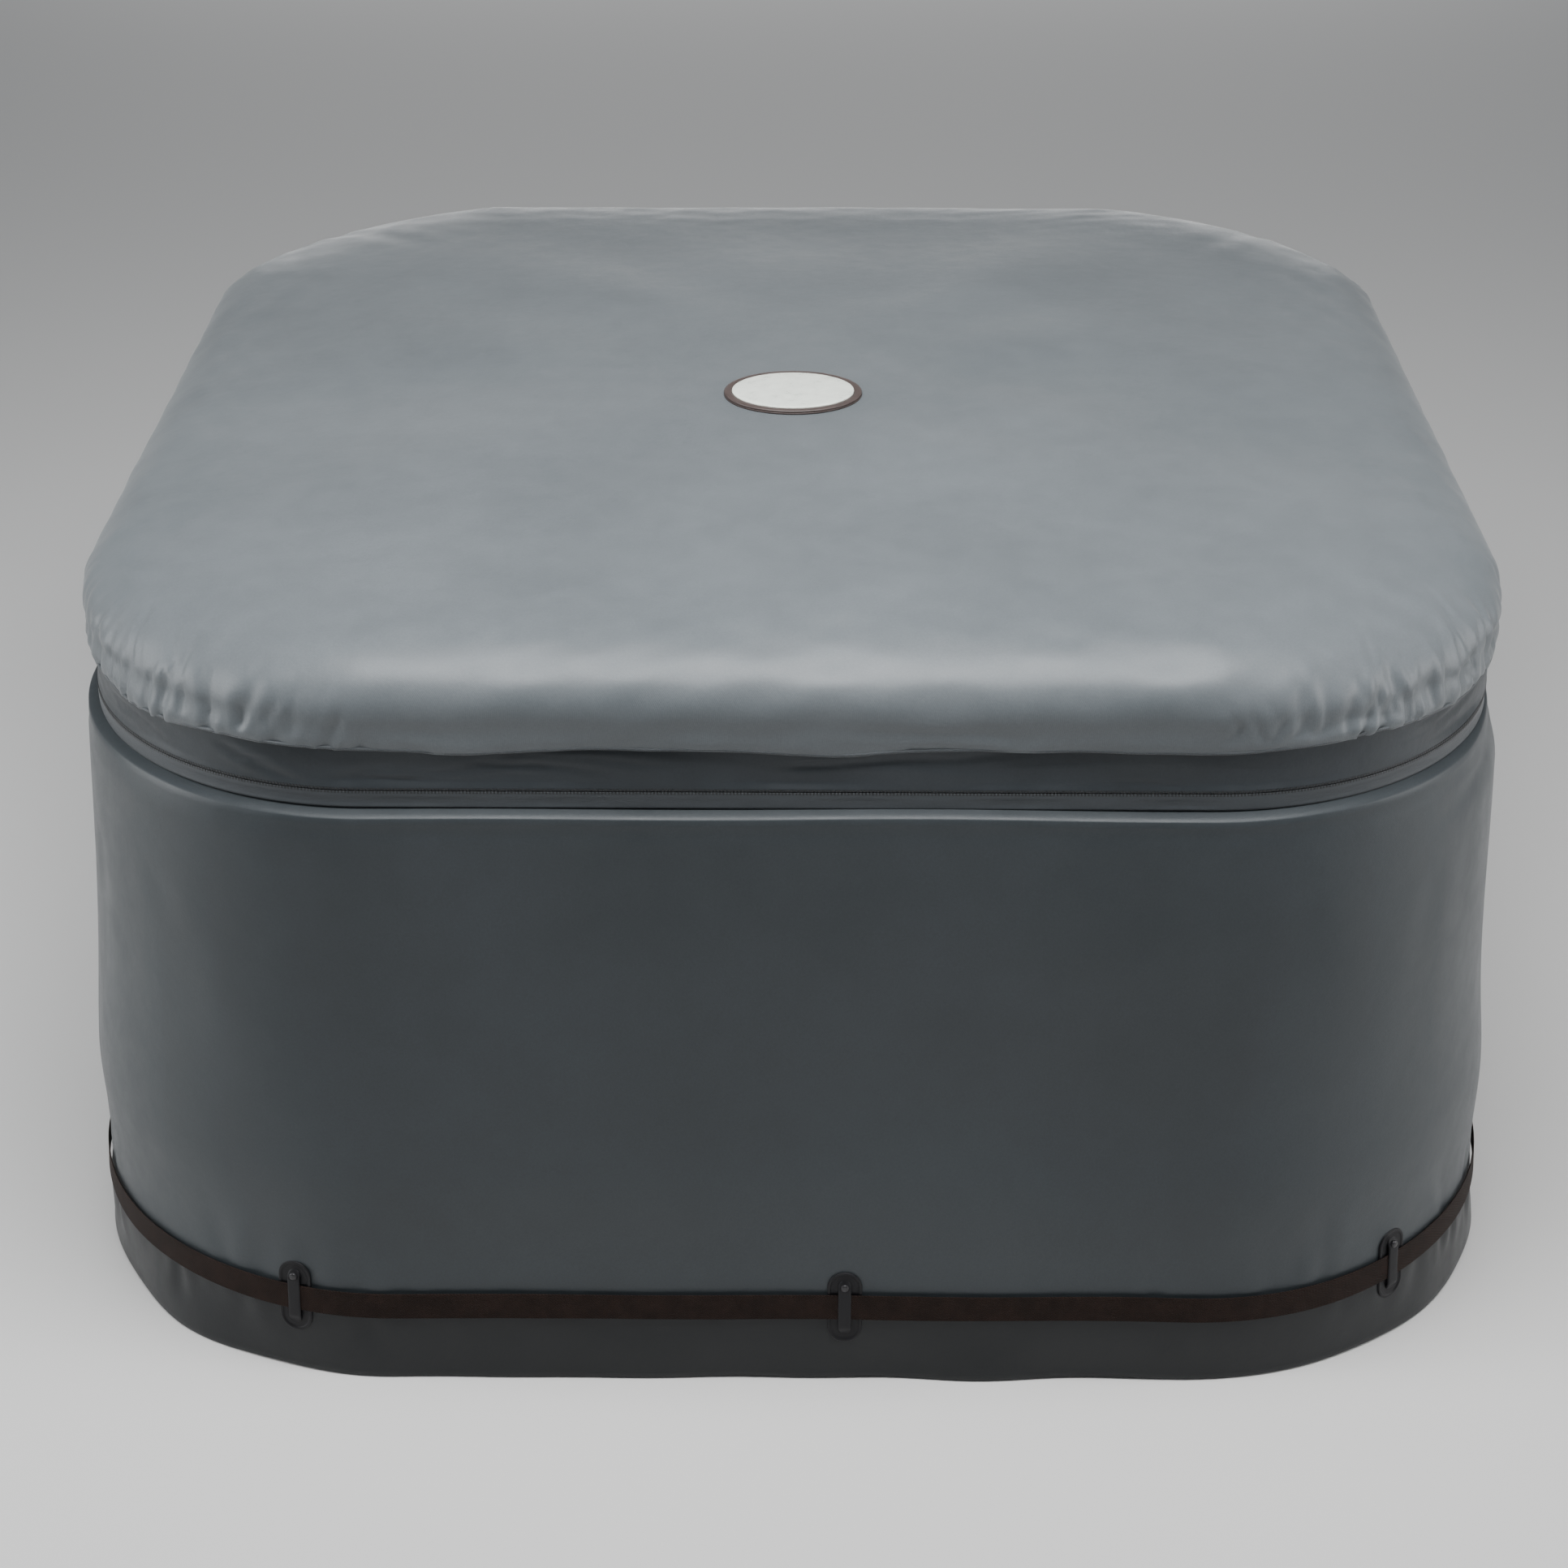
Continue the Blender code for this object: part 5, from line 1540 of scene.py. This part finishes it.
    def cap(self, name: str, node: str, spec: tuple, seat: float) -> Object:
        """Push-in cap with a fluted knob.

        Args:
            name: The piece's name.
            node: The CAD node and body.
            spec: x, height, outer and inner radius.
            seat: Where its disc rests, along y.

        Returns:
            The cap.
        """
        x, z, tube, bore = spec
        stem, disc, knob, thick = bore - 0.0006, tube + 0.002, bore / 2, 0.0028
        profile = [(0.0002, -0.010), (stem - 0.0012, -0.010), (stem, -0.0088), (stem, 0),
                   (disc - 0.0006, 0), (disc, 0.0006), (disc, thick - 0.0009), (disc - 0.0009, thick),
                   (knob + 0.0008, thick), (knob, thick + 0.0006), (knob, 2 * thick - 0.0007),
                   (knob - 0.0007, 2 * thick), (0.0002, 2 * thick)]
        ribs = (10, 0.0010, lambda rows: ((rows[:, 0] <= knob + 1e-6) & (rows[:, 0] > knob - 0.0008)
                                          & (rows[:, 1] > thick)).astype(float))
        made = Shape().turned(profile, facing_rear(x, seat, z), 80, ribs).build(
            name, [self.finishes["cap"]], 40)
        return finish_piece(made, node, [node])

    def strainer(self, name: str, x: float, z: float, lip: float) -> Object:
        """Slotted cup over a port's inner flange.

        Args:
            name: The port's name.
            x: The port's place.
            z: Its height.
            lip: Radius of its flange.

        Returns:
            The cup.
        """
        deep, wall = 0.022, 0.003
        inside = lip + 0.002
        outside = inside + wall
        place = facing_rear(x, self.face - deep, z)
        cup = Shape().turned([(0.0002, 0), (outside - 0.004, 0), (outside - 0.0012, 0.0012),
                              (outside, 0.004), (outside, deep), (inside, deep), (inside, wall),
                              (0.0002, wall)], place, 96)
        made = cup.build(f"{name}_port_strainer", [self.finishes["cap"]], 40)
        slots = Shape()
        pitch = 2 * inside / 8
        for index in range(7):
            middle = -inside + pitch * (index + 1)
            reach = math.sqrt(inside ** 2 - middle ** 2) * 1.6
            slots.plate(rounded(pitch * 0.42, reach, pitch * 0.2), [(0, -wall), (0, 2 * wall)],
                        place @ Matrix.Translation((middle, 0, 0)))
        cut(made, slots.build("slots", []))
        return finish_piece(made, f"{name}_strainer", [f"{name}_strainer"])


class Nodes:
    """A node tree that is filled in one node at a time."""

    def __init__(self, tree: Tree) -> None:
        """Keep the tree."""
        self.tree = tree

    def add(self, kind: str, wires: dict | None = None, **settings: object) -> Node:
        """Add a node.

        Args:
            kind: Its type, without the ShaderNode in front.
            wires: Input name or number to a socket or a constant.
            settings: Its properties.

        Returns:
            The node.
        """
        made = self.tree.nodes.new(kind if kind.startswith("Node") else f"ShaderNode{kind}")
        for name, value in settings.items():
            setattr(made, name, value)
        self.wire(made, wires or {})
        return made

    def wire(self, node: Node, wires: dict) -> None:
        """Link or set inputs of a node, by name or number.

        Args:
            node: The node.
            wires: Input name or number to a socket or a constant.
        """
        for name, value in wires.items():
            if isinstance(value, Socket):
                self.tree.links.new(value, node.inputs[name])
            else:
                node.inputs[name].default_value = value

    def sum(self, operation: str, *values: object, clamp: bool = False) -> Socket:
        """A Math node's result."""
        return self.add("Math", dict(enumerate(values)), operation=operation, use_clamp=clamp).outputs[0]

    def noise(self, vector: Socket, scale: float, detail: float = 3.0,
              roughness: float = 0.55) -> Socket:
        """A Noise texture's value."""
        return self.add("TexNoise", {"Vector": vector, "Scale": scale, "Detail": detail,
                                     "Roughness": roughness}).outputs["Fac"]

    def ramp(self, value: Socket, low: float, high: float, to_low: float = 0.0,
             to_high: float = 1.0) -> Socket:
        """A value mapped from low..high to another range, and kept in it."""
        return self.add("MapRange", {"Value": value, "From Min": low, "From Max": high, "To Min": to_low,
                                     "To Max": to_high}).outputs[0]

    def mix(self, share: object, first: object, second: object) -> Socket:
        """A mix of two colours."""
        return self.add("Mix", {0: share, 6: first, 7: second}, data_type="RGBA").outputs[2]


def group(name: str, inputs: Sequence[tuple[str, str, object]], outputs: Sequence[tuple[str, str]]
          ) -> tuple[Nodes, Node, Node]:
    """A new node group with its sockets.

    Args:
        name: Its name.
        inputs: Name, socket type and default of each input.
        outputs: Name and socket type of each output.

    Returns:
        Its nodes, its input node and its output node.
    """
    tree = bpy.data.node_groups.new(name, "ShaderNodeTree")
    for title, kind, default in inputs:
        socket = tree.interface.new_socket(title, in_out="INPUT", socket_type=f"NodeSocket{kind}")
        if default is not None:
            socket.default_value = default
    for title, kind in outputs:
        tree.interface.new_socket(title, in_out="OUTPUT", socket_type=f"NodeSocket{kind}")
    nodes = Nodes(tree)
    return nodes, nodes.add("NodeGroupInput"), nodes.add("NodeGroupOutput")


# Share taken off the cloth's colour below its Hem height: painted shade near the ground.
HEM_PAINTED_SHADE = 0.8


def coated_cloth_group() -> Tree:
    """Coated woven cloth: a fine weave, soft mottling, slight crumple, and painted shade that darkens it
    below its Hem height.
    """
    nodes, given, made = group("coated_cloth", [
        ("Place", "Vector", None), ("Space", "Vector", None), ("Thread", "Float", 0.0016),
        ("Base", "Color", (0.1, 0.1, 0.1, 1)), ("Tint", "Color", (0.12, 0.12, 0.12, 1)),
        ("Roughness", "Float", 0.5), ("Crumple", "Float", 0.5), ("Hem", "Float", -99.0)],
        [("Colour", "Color"), ("Roughness", "Float"), ("Normal", "Vector")])
    place, space = given.outputs["Place"], given.outputs["Space"]
    split = nodes.add("SeparateXYZ", {0: place})
    around = nodes.sum("DIVIDE", 2 * math.pi, given.outputs["Thread"])
    warp = nodes.sum("SINE", nodes.sum("MULTIPLY", split.outputs[0], around))
    weft = nodes.sum("SINE", nodes.sum("MULTIPLY", split.outputs[1], around))
    weave = nodes.sum("MULTIPLY", warp, weft)
    cloudy = nodes.noise(space, 3.2, 4.0, 0.5)
    patchy = nodes.noise(space, 21.0, 5.0, 0.6)
    soft = nodes.noise(space, 34.0, 4.0, 0.5)
    fine = nodes.noise(space, 420.0, 2.0, 0.5)
    shade = nodes.sum("ADD", nodes.ramp(cloudy, 0.36, 0.64, 0.0, 0.7),
                      nodes.ramp(patchy, 0.35, 0.65, 0.0, 0.3))
    colour = nodes.mix(shade, given.outputs["Base"], given.outputs["Tint"])
    grain = nodes.ramp(fine, 0.3, 0.7, 0.93, 1.05)
    weave_shade = nodes.ramp(weave, -1.0, 1.0, 0.965, 1.02)
    # Painted shade: below the Hem height the colour is darkened by a fixed share.
    below = nodes.sum("LESS_THAN", split.outputs[1], given.outputs["Hem"])
    dark = nodes.sum("SUBTRACT", 1.0, nodes.sum("MULTIPLY", below, HEM_PAINTED_SHADE))
    value = nodes.sum("MULTIPLY", dark, nodes.sum("MULTIPLY", grain, weave_shade))
    bright = nodes.add("HueSaturation", {"Color": colour, "Value": value})
    rough = nodes.sum("ADD", given.outputs["Roughness"], nodes.ramp(patchy, 0.3, 0.7, -0.05, 0.05))
    height = nodes.sum("ADD", nodes.sum("MULTIPLY", weave, 0.00006),
                       nodes.sum("MULTIPLY", fine, 0.00014))
    rolling = nodes.sum("MULTIPLY", soft, nodes.sum("MULTIPLY", given.outputs["Crumple"], 0.0022))
    bump = nodes.add("Bump", {"Height": nodes.sum("ADD", height, rolling), "Strength": 0.6,
                              "Distance": 1.0})
    nodes.wire(made, {"Colour": bright.outputs[0], "Roughness": rough, "Normal": bump.outputs[0]})
    return nodes.tree


def moulded_group() -> Tree:
    """Moulded plastic or rubber: fine grain with faint rubbing."""
    nodes, given, made = group("moulded", [
        ("Space", "Vector", None), ("Base", "Color", (0.1, 0.1, 0.1, 1)), ("Roughness", "Float", 0.4),
        ("Grain", "Float", 0.3)],
        [("Colour", "Color"), ("Roughness", "Float"), ("Normal", "Vector")])
    space = given.outputs["Space"]
    grain = nodes.noise(space, 900.0, 2.0)
    rub = nodes.noise(space, 60.0, 5.0, 0.65)
    value = nodes.ramp(rub, 0.3, 0.7, 0.90, 1.14)
    colour = nodes.add("HueSaturation", {"Color": given.outputs["Base"], "Value": value})
    rough = nodes.sum("ADD", given.outputs["Roughness"], nodes.ramp(rub, 0.3, 0.7, -0.06, 0.08))
    height = nodes.sum("MULTIPLY", grain, nodes.sum("MULTIPLY", given.outputs["Grain"], 0.0003))
    bump = nodes.add("Bump", {"Height": height, "Strength": 0.5, "Distance": 1.0})
    nodes.wire(made, {"Colour": colour.outputs[0], "Roughness": rough, "Normal": bump.outputs[0]})
    return nodes.tree


@dataclass(frozen=True)
class Cloth:
    """Finish of a cloth piece."""

    base: tuple[float, float, float]
    tint: tuple[float, float, float]
    roughness: float = 0.5
    thread: float = 0.0016
    crumple: float = 0.5
    sheen: float = 0.15
    flat_weave: bool = False
    # hem: height up the contour below which the colour is darkened, a painted shade near the ground.
    hem: float = -99.0
    specular: float = 0.5


@dataclass(frozen=True)
class Moulded:
    """Finish of a moulded piece."""

    base: tuple[float, float, float]
    roughness: float = 0.4
    grain: float = 0.3
    metallic: float = 0.0
    coat: float = 0.0
    specular: float = 0.5


class Finishes:
    """Makes the materials by name."""

    cloths = {
        "lid_cloth": Cloth((0.094, 0.106, 0.114), (0.116, 0.129, 0.138), 0.43, crumple=0.42,
                           flat_weave=True, specular=0.4),
        "lid_piping": Cloth((0.045, 0.052, 0.058), (0.055, 0.062, 0.068), 0.5, crumple=0.2),
        # Painted shade: the jacket's cloth is the lid's fabric at about a third of its brightness,
        # standing in for the shade on its side faces.
        # hem=0.107 darkens the jacket below its belt: painted shade near the ground.
        "jacket_cloth": Cloth((0.031, 0.037, 0.041), (0.039, 0.046, 0.051), 0.42, crumple=0.35,
                              sheen=0.08, hem=0.107, specular=0.32),
        # Painted shade: the band's cloth is darker than the lid's and the jacket's fabric, standing in
        # for the shade in the recess under the lid's hem.
        "band_cloth": Cloth((0.026, 0.031, 0.035), (0.038, 0.044, 0.050), 0.5, crumple=0.9,
                            specular=0.3),
        "tape_cloth": Cloth((0.040, 0.046, 0.052), (0.052, 0.059, 0.065), 0.55, 0.0011, 0.25),
        "binding": Cloth((0.022, 0.025, 0.028), (0.030, 0.034, 0.038), 0.5, crumple=0.1),
        "ground": Cloth((0.055, 0.062, 0.068), (0.075, 0.083, 0.09), 0.7, 0.003, 0.4),
        "skin": Cloth((0.055, 0.060, 0.064), (0.066, 0.072, 0.077), 0.42, 0.0012, 0.3),
        "liner": Cloth((0.48, 0.53, 0.55), (0.54, 0.585, 0.60), 0.34, 0.0012, 0.25, 0.0),
        "floor": Cloth((0.40, 0.45, 0.48), (0.47, 0.52, 0.545), 0.4, 0.0012, 0.3, 0.0),
        "channel": Cloth((0.30, 0.34, 0.36), (0.35, 0.39, 0.41), 0.4, 0.0012, 0.2, 0.0),
    }
    moulds = {
        "teeth": Moulded((0.010, 0.011, 0.012), 0.35, 0.1),
        "rubber": Moulded((0.0075, 0.0072, 0.0085), 0.5, 0.4, specular=0.25),
        "rivet": Moulded((0.035, 0.034, 0.036), 0.32, 0.1, 0.5),
        "buckle": Moulded((0.013, 0.013, 0.014), 0.42, 0.35),
        "badge_rim": Moulded((0.060, 0.044, 0.040), 0.38, 0.25),
        "badge_face": Moulded((0.72, 0.75, 0.68), 0.3, 0.05, coat=0.3),
        "fitting": Moulded((0.035, 0.037, 0.040), 0.42, 0.3),
        "seal": Moulded((0.010, 0.010, 0.010), 0.75, 0.5),
        "cap": Moulded((0.16, 0.17, 0.18), 0.4, 0.25),
        "metal": Moulded((0.42, 0.42, 0.43), 0.3, 0.1, 1.0),
        "bladder": Moulded((0.24, 0.27, 0.30), 0.35, 0.3),
        "web": Moulded((0.30, 0.31, 0.32), 0.6, 0.4),
    }

    def __init__(self) -> None:
        """Make the shared node groups."""
        self.cloth_group = coated_cloth_group()
        self.moulded_group = moulded_group()

    @staticmethod
    def _start(name: str) -> tuple[Material, Nodes, Node]:
        """A new material, its nodes and its shader."""
        made = bpy.data.materials.new(name)
        made.use_nodes = True
        nodes = Nodes(made.node_tree)
        return made, nodes, made.node_tree.nodes["Principled BSDF"]

    @staticmethod
    def _link(nodes: Nodes, shader: Node, inner: Node) -> None:
        """Join a group's outputs to the shader."""
        nodes.wire(shader, {"Base Color": inner.outputs["Colour"],
                            "Roughness": inner.outputs["Roughness"], "Normal": inner.outputs["Normal"]})

    def cloth(self, name: str, look: Cloth) -> Material:
        """Material of a cloth.

        Args:
            name: Its name.
            look: Its finish.

        Returns:
            The material.
        """
        made, nodes, shader = self._start(name)
        space = nodes.add("TexCoord").outputs["Object"]
        place = space if look.flat_weave else nodes.add("UVMap", uv_map="place").outputs["UV"]
        inner = nodes.add("Group", {
            "Place": place, "Space": space, "Thread": look.thread, "Base": (*look.base, 1),
            "Tint": (*look.tint, 1), "Roughness": look.roughness, "Crumple": look.crumple,
            "Hem": look.hem}, node_tree=self.cloth_group)
        self._link(nodes, shader, inner)
        nodes.wire(shader, {"Sheen Weight": look.sheen, "Specular IOR Level": look.specular,
                            "Sheen Roughness": 0.4})
        return made

    def moulded(self, name: str, look: Moulded) -> Material:
        """Material of a moulded or metal piece.

        Args:
            name: Its name.
            look: Its finish.

        Returns:
            The material.
        """
        made, nodes, shader = self._start(name)
        inner = nodes.add("Group", {
            "Space": nodes.add("TexCoord").outputs["Object"], "Base": (*look.base, 1),
            "Roughness": look.roughness, "Grain": look.grain}, node_tree=self.moulded_group)
        self._link(nodes, shader, inner)
        nodes.wire(shader, {"Metallic": look.metallic, "Coat Weight": look.coat,
                            "Specular IOR Level": look.specular})
        return made

    def webbing(self) -> Material:
        """Belt webbing: steep twill ribs."""
        made, nodes, shader = self._start("webbing")
        split = nodes.add("SeparateXYZ", {0: nodes.add("UVMap", uv_map="place").outputs["UV"]})
        along, up = split.outputs[0], split.outputs[1]
        slope = nodes.sum("ADD", nodes.sum("MULTIPLY", along, 2 * math.pi / 0.0042),
                          nodes.sum("MULTIPLY", up, 2 * math.pi / 0.0024))
        cross = nodes.sum("SINE", nodes.sum("MULTIPLY", along, 2 * math.pi / 0.0016))
        rib = nodes.sum("ADD", nodes.sum("SINE", slope), nodes.sum("MULTIPLY", cross, 0.35))
        space = nodes.add("TexCoord").outputs["Object"]
        worn = nodes.noise(space, 45.0, 4.0)
        share = nodes.sum("ADD", nodes.ramp(rib, -1.3, 1.3, 0.0, 0.6),
                          nodes.ramp(worn, 0.35, 0.65, 0.0, 0.4))
        colour = nodes.mix(share, (0.0065, 0.0034, 0.0024, 1), (0.021, 0.0112, 0.0080, 1))
        bump = nodes.add("Bump", {"Height": nodes.sum("MULTIPLY", rib, 0.00022), "Strength": 0.8,
                                  "Distance": 1.0})
        nodes.wire(shader, {"Base Color": colour, "Normal": bump.outputs[0], "Roughness": 0.62,
                            "Specular IOR Level": 0.12})
        return made

    def foil(self) -> Material:
        """Silver reflective lining with a small crinkle and a heat-sealed net of seams."""
        made, nodes, shader = self._start("foil")
        space = nodes.add("TexCoord").outputs["Object"]
        split = nodes.add("SeparateXYZ", {0: space})
        seams = []
        for axis in (0, 1):
            net = nodes.sum("DIVIDE", nodes.sum("ADD", split.outputs[axis], 3.06), 0.12)
            off = nodes.sum("ABSOLUTE", nodes.sum("SUBTRACT", nodes.sum("FRACT", net), 0.5))
            seams.append(nodes.ramp(off, 0.0, 0.035, 1.0, 0.0))
        seam = nodes.sum("MAXIMUM", *seams)
        cells = nodes.add("TexVoronoi", {"Vector": space, "Scale": 42.0}, feature="SMOOTH_F1")
        small = nodes.noise(space, 110.0, 4.0, 0.6)
        height = nodes.sum("ADD", nodes.sum("MULTIPLY", cells.outputs["Distance"], 0.0022),
                           nodes.sum("MULTIPLY", small, 0.0012))
        height = nodes.sum("SUBTRACT", height, nodes.sum("MULTIPLY", seam, 0.0022))
        colour = nodes.mix(nodes.ramp(small, 0.3, 0.7), (0.62, 0.64, 0.66, 1), (0.72, 0.74, 0.75, 1))
        bump = nodes.add("Bump", {"Height": height, "Strength": 0.55, "Distance": 1.0})
        nodes.wire(shader, {"Base Color": colour, "Normal": bump.outputs[0], "Metallic": 0.75,
                            "Roughness": 0.38})
        return made

    def all(self) -> Materials:
        """Every finish by name."""
        made = {name: self.cloth(name, look) for name, look in self.cloths.items()}
        made.update({name: self.moulded(name, look) for name, look in self.moulds.items()})
        made["webbing"] = self.webbing()
        made["foil"] = self.foil()
        return made


@dataclass(frozen=True)
class Lamp:
    """An area light."""

    name: str
    place: tuple[float, float, float]
    target: tuple[float, float, float]
    size: tuple[float, float]
    power: float
    colour: tuple[float, float, float] = (1.0, 1.0, 1.0)


LAMPS = (
    Lamp("overhead", (0.05, -1.15, 3.0), (0, -0.35, 0.9), (2.4, 1.2), 140, (0.98, 0.99, 1.0)),
    Lamp("left_edge", (-3.6, -1.0, 1.5), (-0.6, -0.4, 0.45), (1.6, 2.2), 84, (0.97, 0.99, 1.0)),
    Lamp("right_edge", (3.6, -1.1, 1.4), (0.6, -0.4, 0.45), (1.6, 2.2), 64),
    Lamp("front_fill", (0.2, -4.6, 3.2), (0, -0.3, 0.5), (2.4, 1.6), 6),
    Lamp("rear", (0.0, 9.0, 0.7), (0, 0.4, 0.4), (6.0, 1.2), 110),
)


@dataclass(frozen=True)
class Eye:
    """The camera: where it looks, from how far, and how it is turned."""

    target: tuple[float, float, float] = (-0.013, 0.0, 0.355)
    distance: float = 4.555
    elevation: float = 27.87
    yaw: float = -0.49
    focal: float = 71.45
    sensor: float = 36.0


def look_at(made: Object, place: Sequence[float], target: Sequence[float]) -> None:
    """Put an object somewhere, its -z towards a target."""
    made.location = place
    made.rotation_euler = (Vector(target) - Vector(place)).to_track_quat("-Z", "Y").to_euler()


def build_stage(eye: Eye) -> None:
    """Floor, world, lights and camera.

    Args:
        eye: The camera.
    """
    reach = 14.0
    square = [[(-reach, -reach, 0), (reach, -reach, 0)], [(-reach, reach, 0), (reach, reach, 0)]]
    floor = Shape().grid(np.array(square), around=False)
    paper = bpy.data.materials.new("floor")
    paper.use_nodes = True
    Nodes(paper.node_tree).wire(paper.node_tree.nodes["Principled BSDF"], {
        "Base Color": (0.62, 0.61, 0.60, 1), "Roughness": 0.85})
    ground = floor.build("studio_floor", [paper])
    world = bpy.data.worlds.new("studio")
    world.use_nodes = True
    nodes = Nodes(world.node_tree)
    sky = nodes.add("SeparateXYZ", {0: nodes.add("TexCoord").outputs["Generated"]}).outputs[2]
    nodes.wire(world.node_tree.nodes["Background"], {
        "Color": (0.80, 0.84, 0.88, 1), "Strength": nodes.ramp(sky, 0.0, 0.9, 0.06, 0.42)})
    bpy.context.scene.world = world
    for lamp in LAMPS:
        light = bpy.data.lights.new(lamp.name, "AREA")
        light.shape = "RECTANGLE"
        light.size, light.size_y = lamp.size
        light.energy = lamp.power
        light.color = lamp.colour
        made = bpy.data.objects.new(lamp.name, light)
        bpy.context.scene.collection.objects.link(made)
        look_at(made, lamp.place, lamp.target)
    camera = bpy.data.cameras.new("camera")
    camera.sensor_width, camera.lens = eye.sensor, eye.focal
    made = bpy.data.objects.new("camera", camera)
    bpy.context.scene.collection.objects.link(made)
    tilt, turn = math.radians(eye.elevation), math.radians(-eye.yaw)
    back = Vector((0, -math.cos(tilt), math.sin(tilt))) * eye.distance
    target = Matrix.Rotation(turn, 4, "Z") @ Vector(eye.target)
    look_at(made, target + Matrix.Rotation(turn, 4, "Z") @ back, target)
    bpy.context.scene.camera = made


def finish_hidden(finishes: Materials) -> None:
    """Give the inner CAD nodes, which stay as they are, their finishes."""
    for name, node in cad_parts.items():
        if name.startswith("wall_web"):
            node.data.materials.clear()
            node.data.materials.append(finishes["web"])


def main() -> None:
    """Build everything."""
    logging.basicConfig(level=logging.INFO, format="%(message)s")
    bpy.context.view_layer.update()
    finishes = Finishes().all()
    lid = Lid(finishes)
    lid.cover()
    lid.bladder()
    lid.piping()
    upper = SIZE.zip_z + SIZE.zip_gap / 2
    lower = SIZE.zip_z - SIZE.zip_gap / 2
    zip_teeth("lid_zip_teeth", Body.LID.value, upper, 1, 0.0, finishes["teeth"])
    lid.band()
    lid.lining()
    lid.valve_cap()
    lid.badge()
    LOG.info("lid built")
    jacket = Jacket(finishes)
    jacket.cloth()
    zip_teeth("jacket_zip_teeth", Body.TUB.value, lower, -1, 0.5, finishes["teeth"])
    jacket.tape()
    jacket.belt()
    jacket.keepers()
    jacket.buckle()
    jacket.slider()
    lid.hinge()
    LOG.info("jacket built")
    tub = Tub(finishes)
    tub.floor()
    tub.skins()
    tub.fittings()
    finish_hidden(finishes)
    LOG.info("tub built")
    build_stage(Eye())


if __name__ == "__main__":
    main()
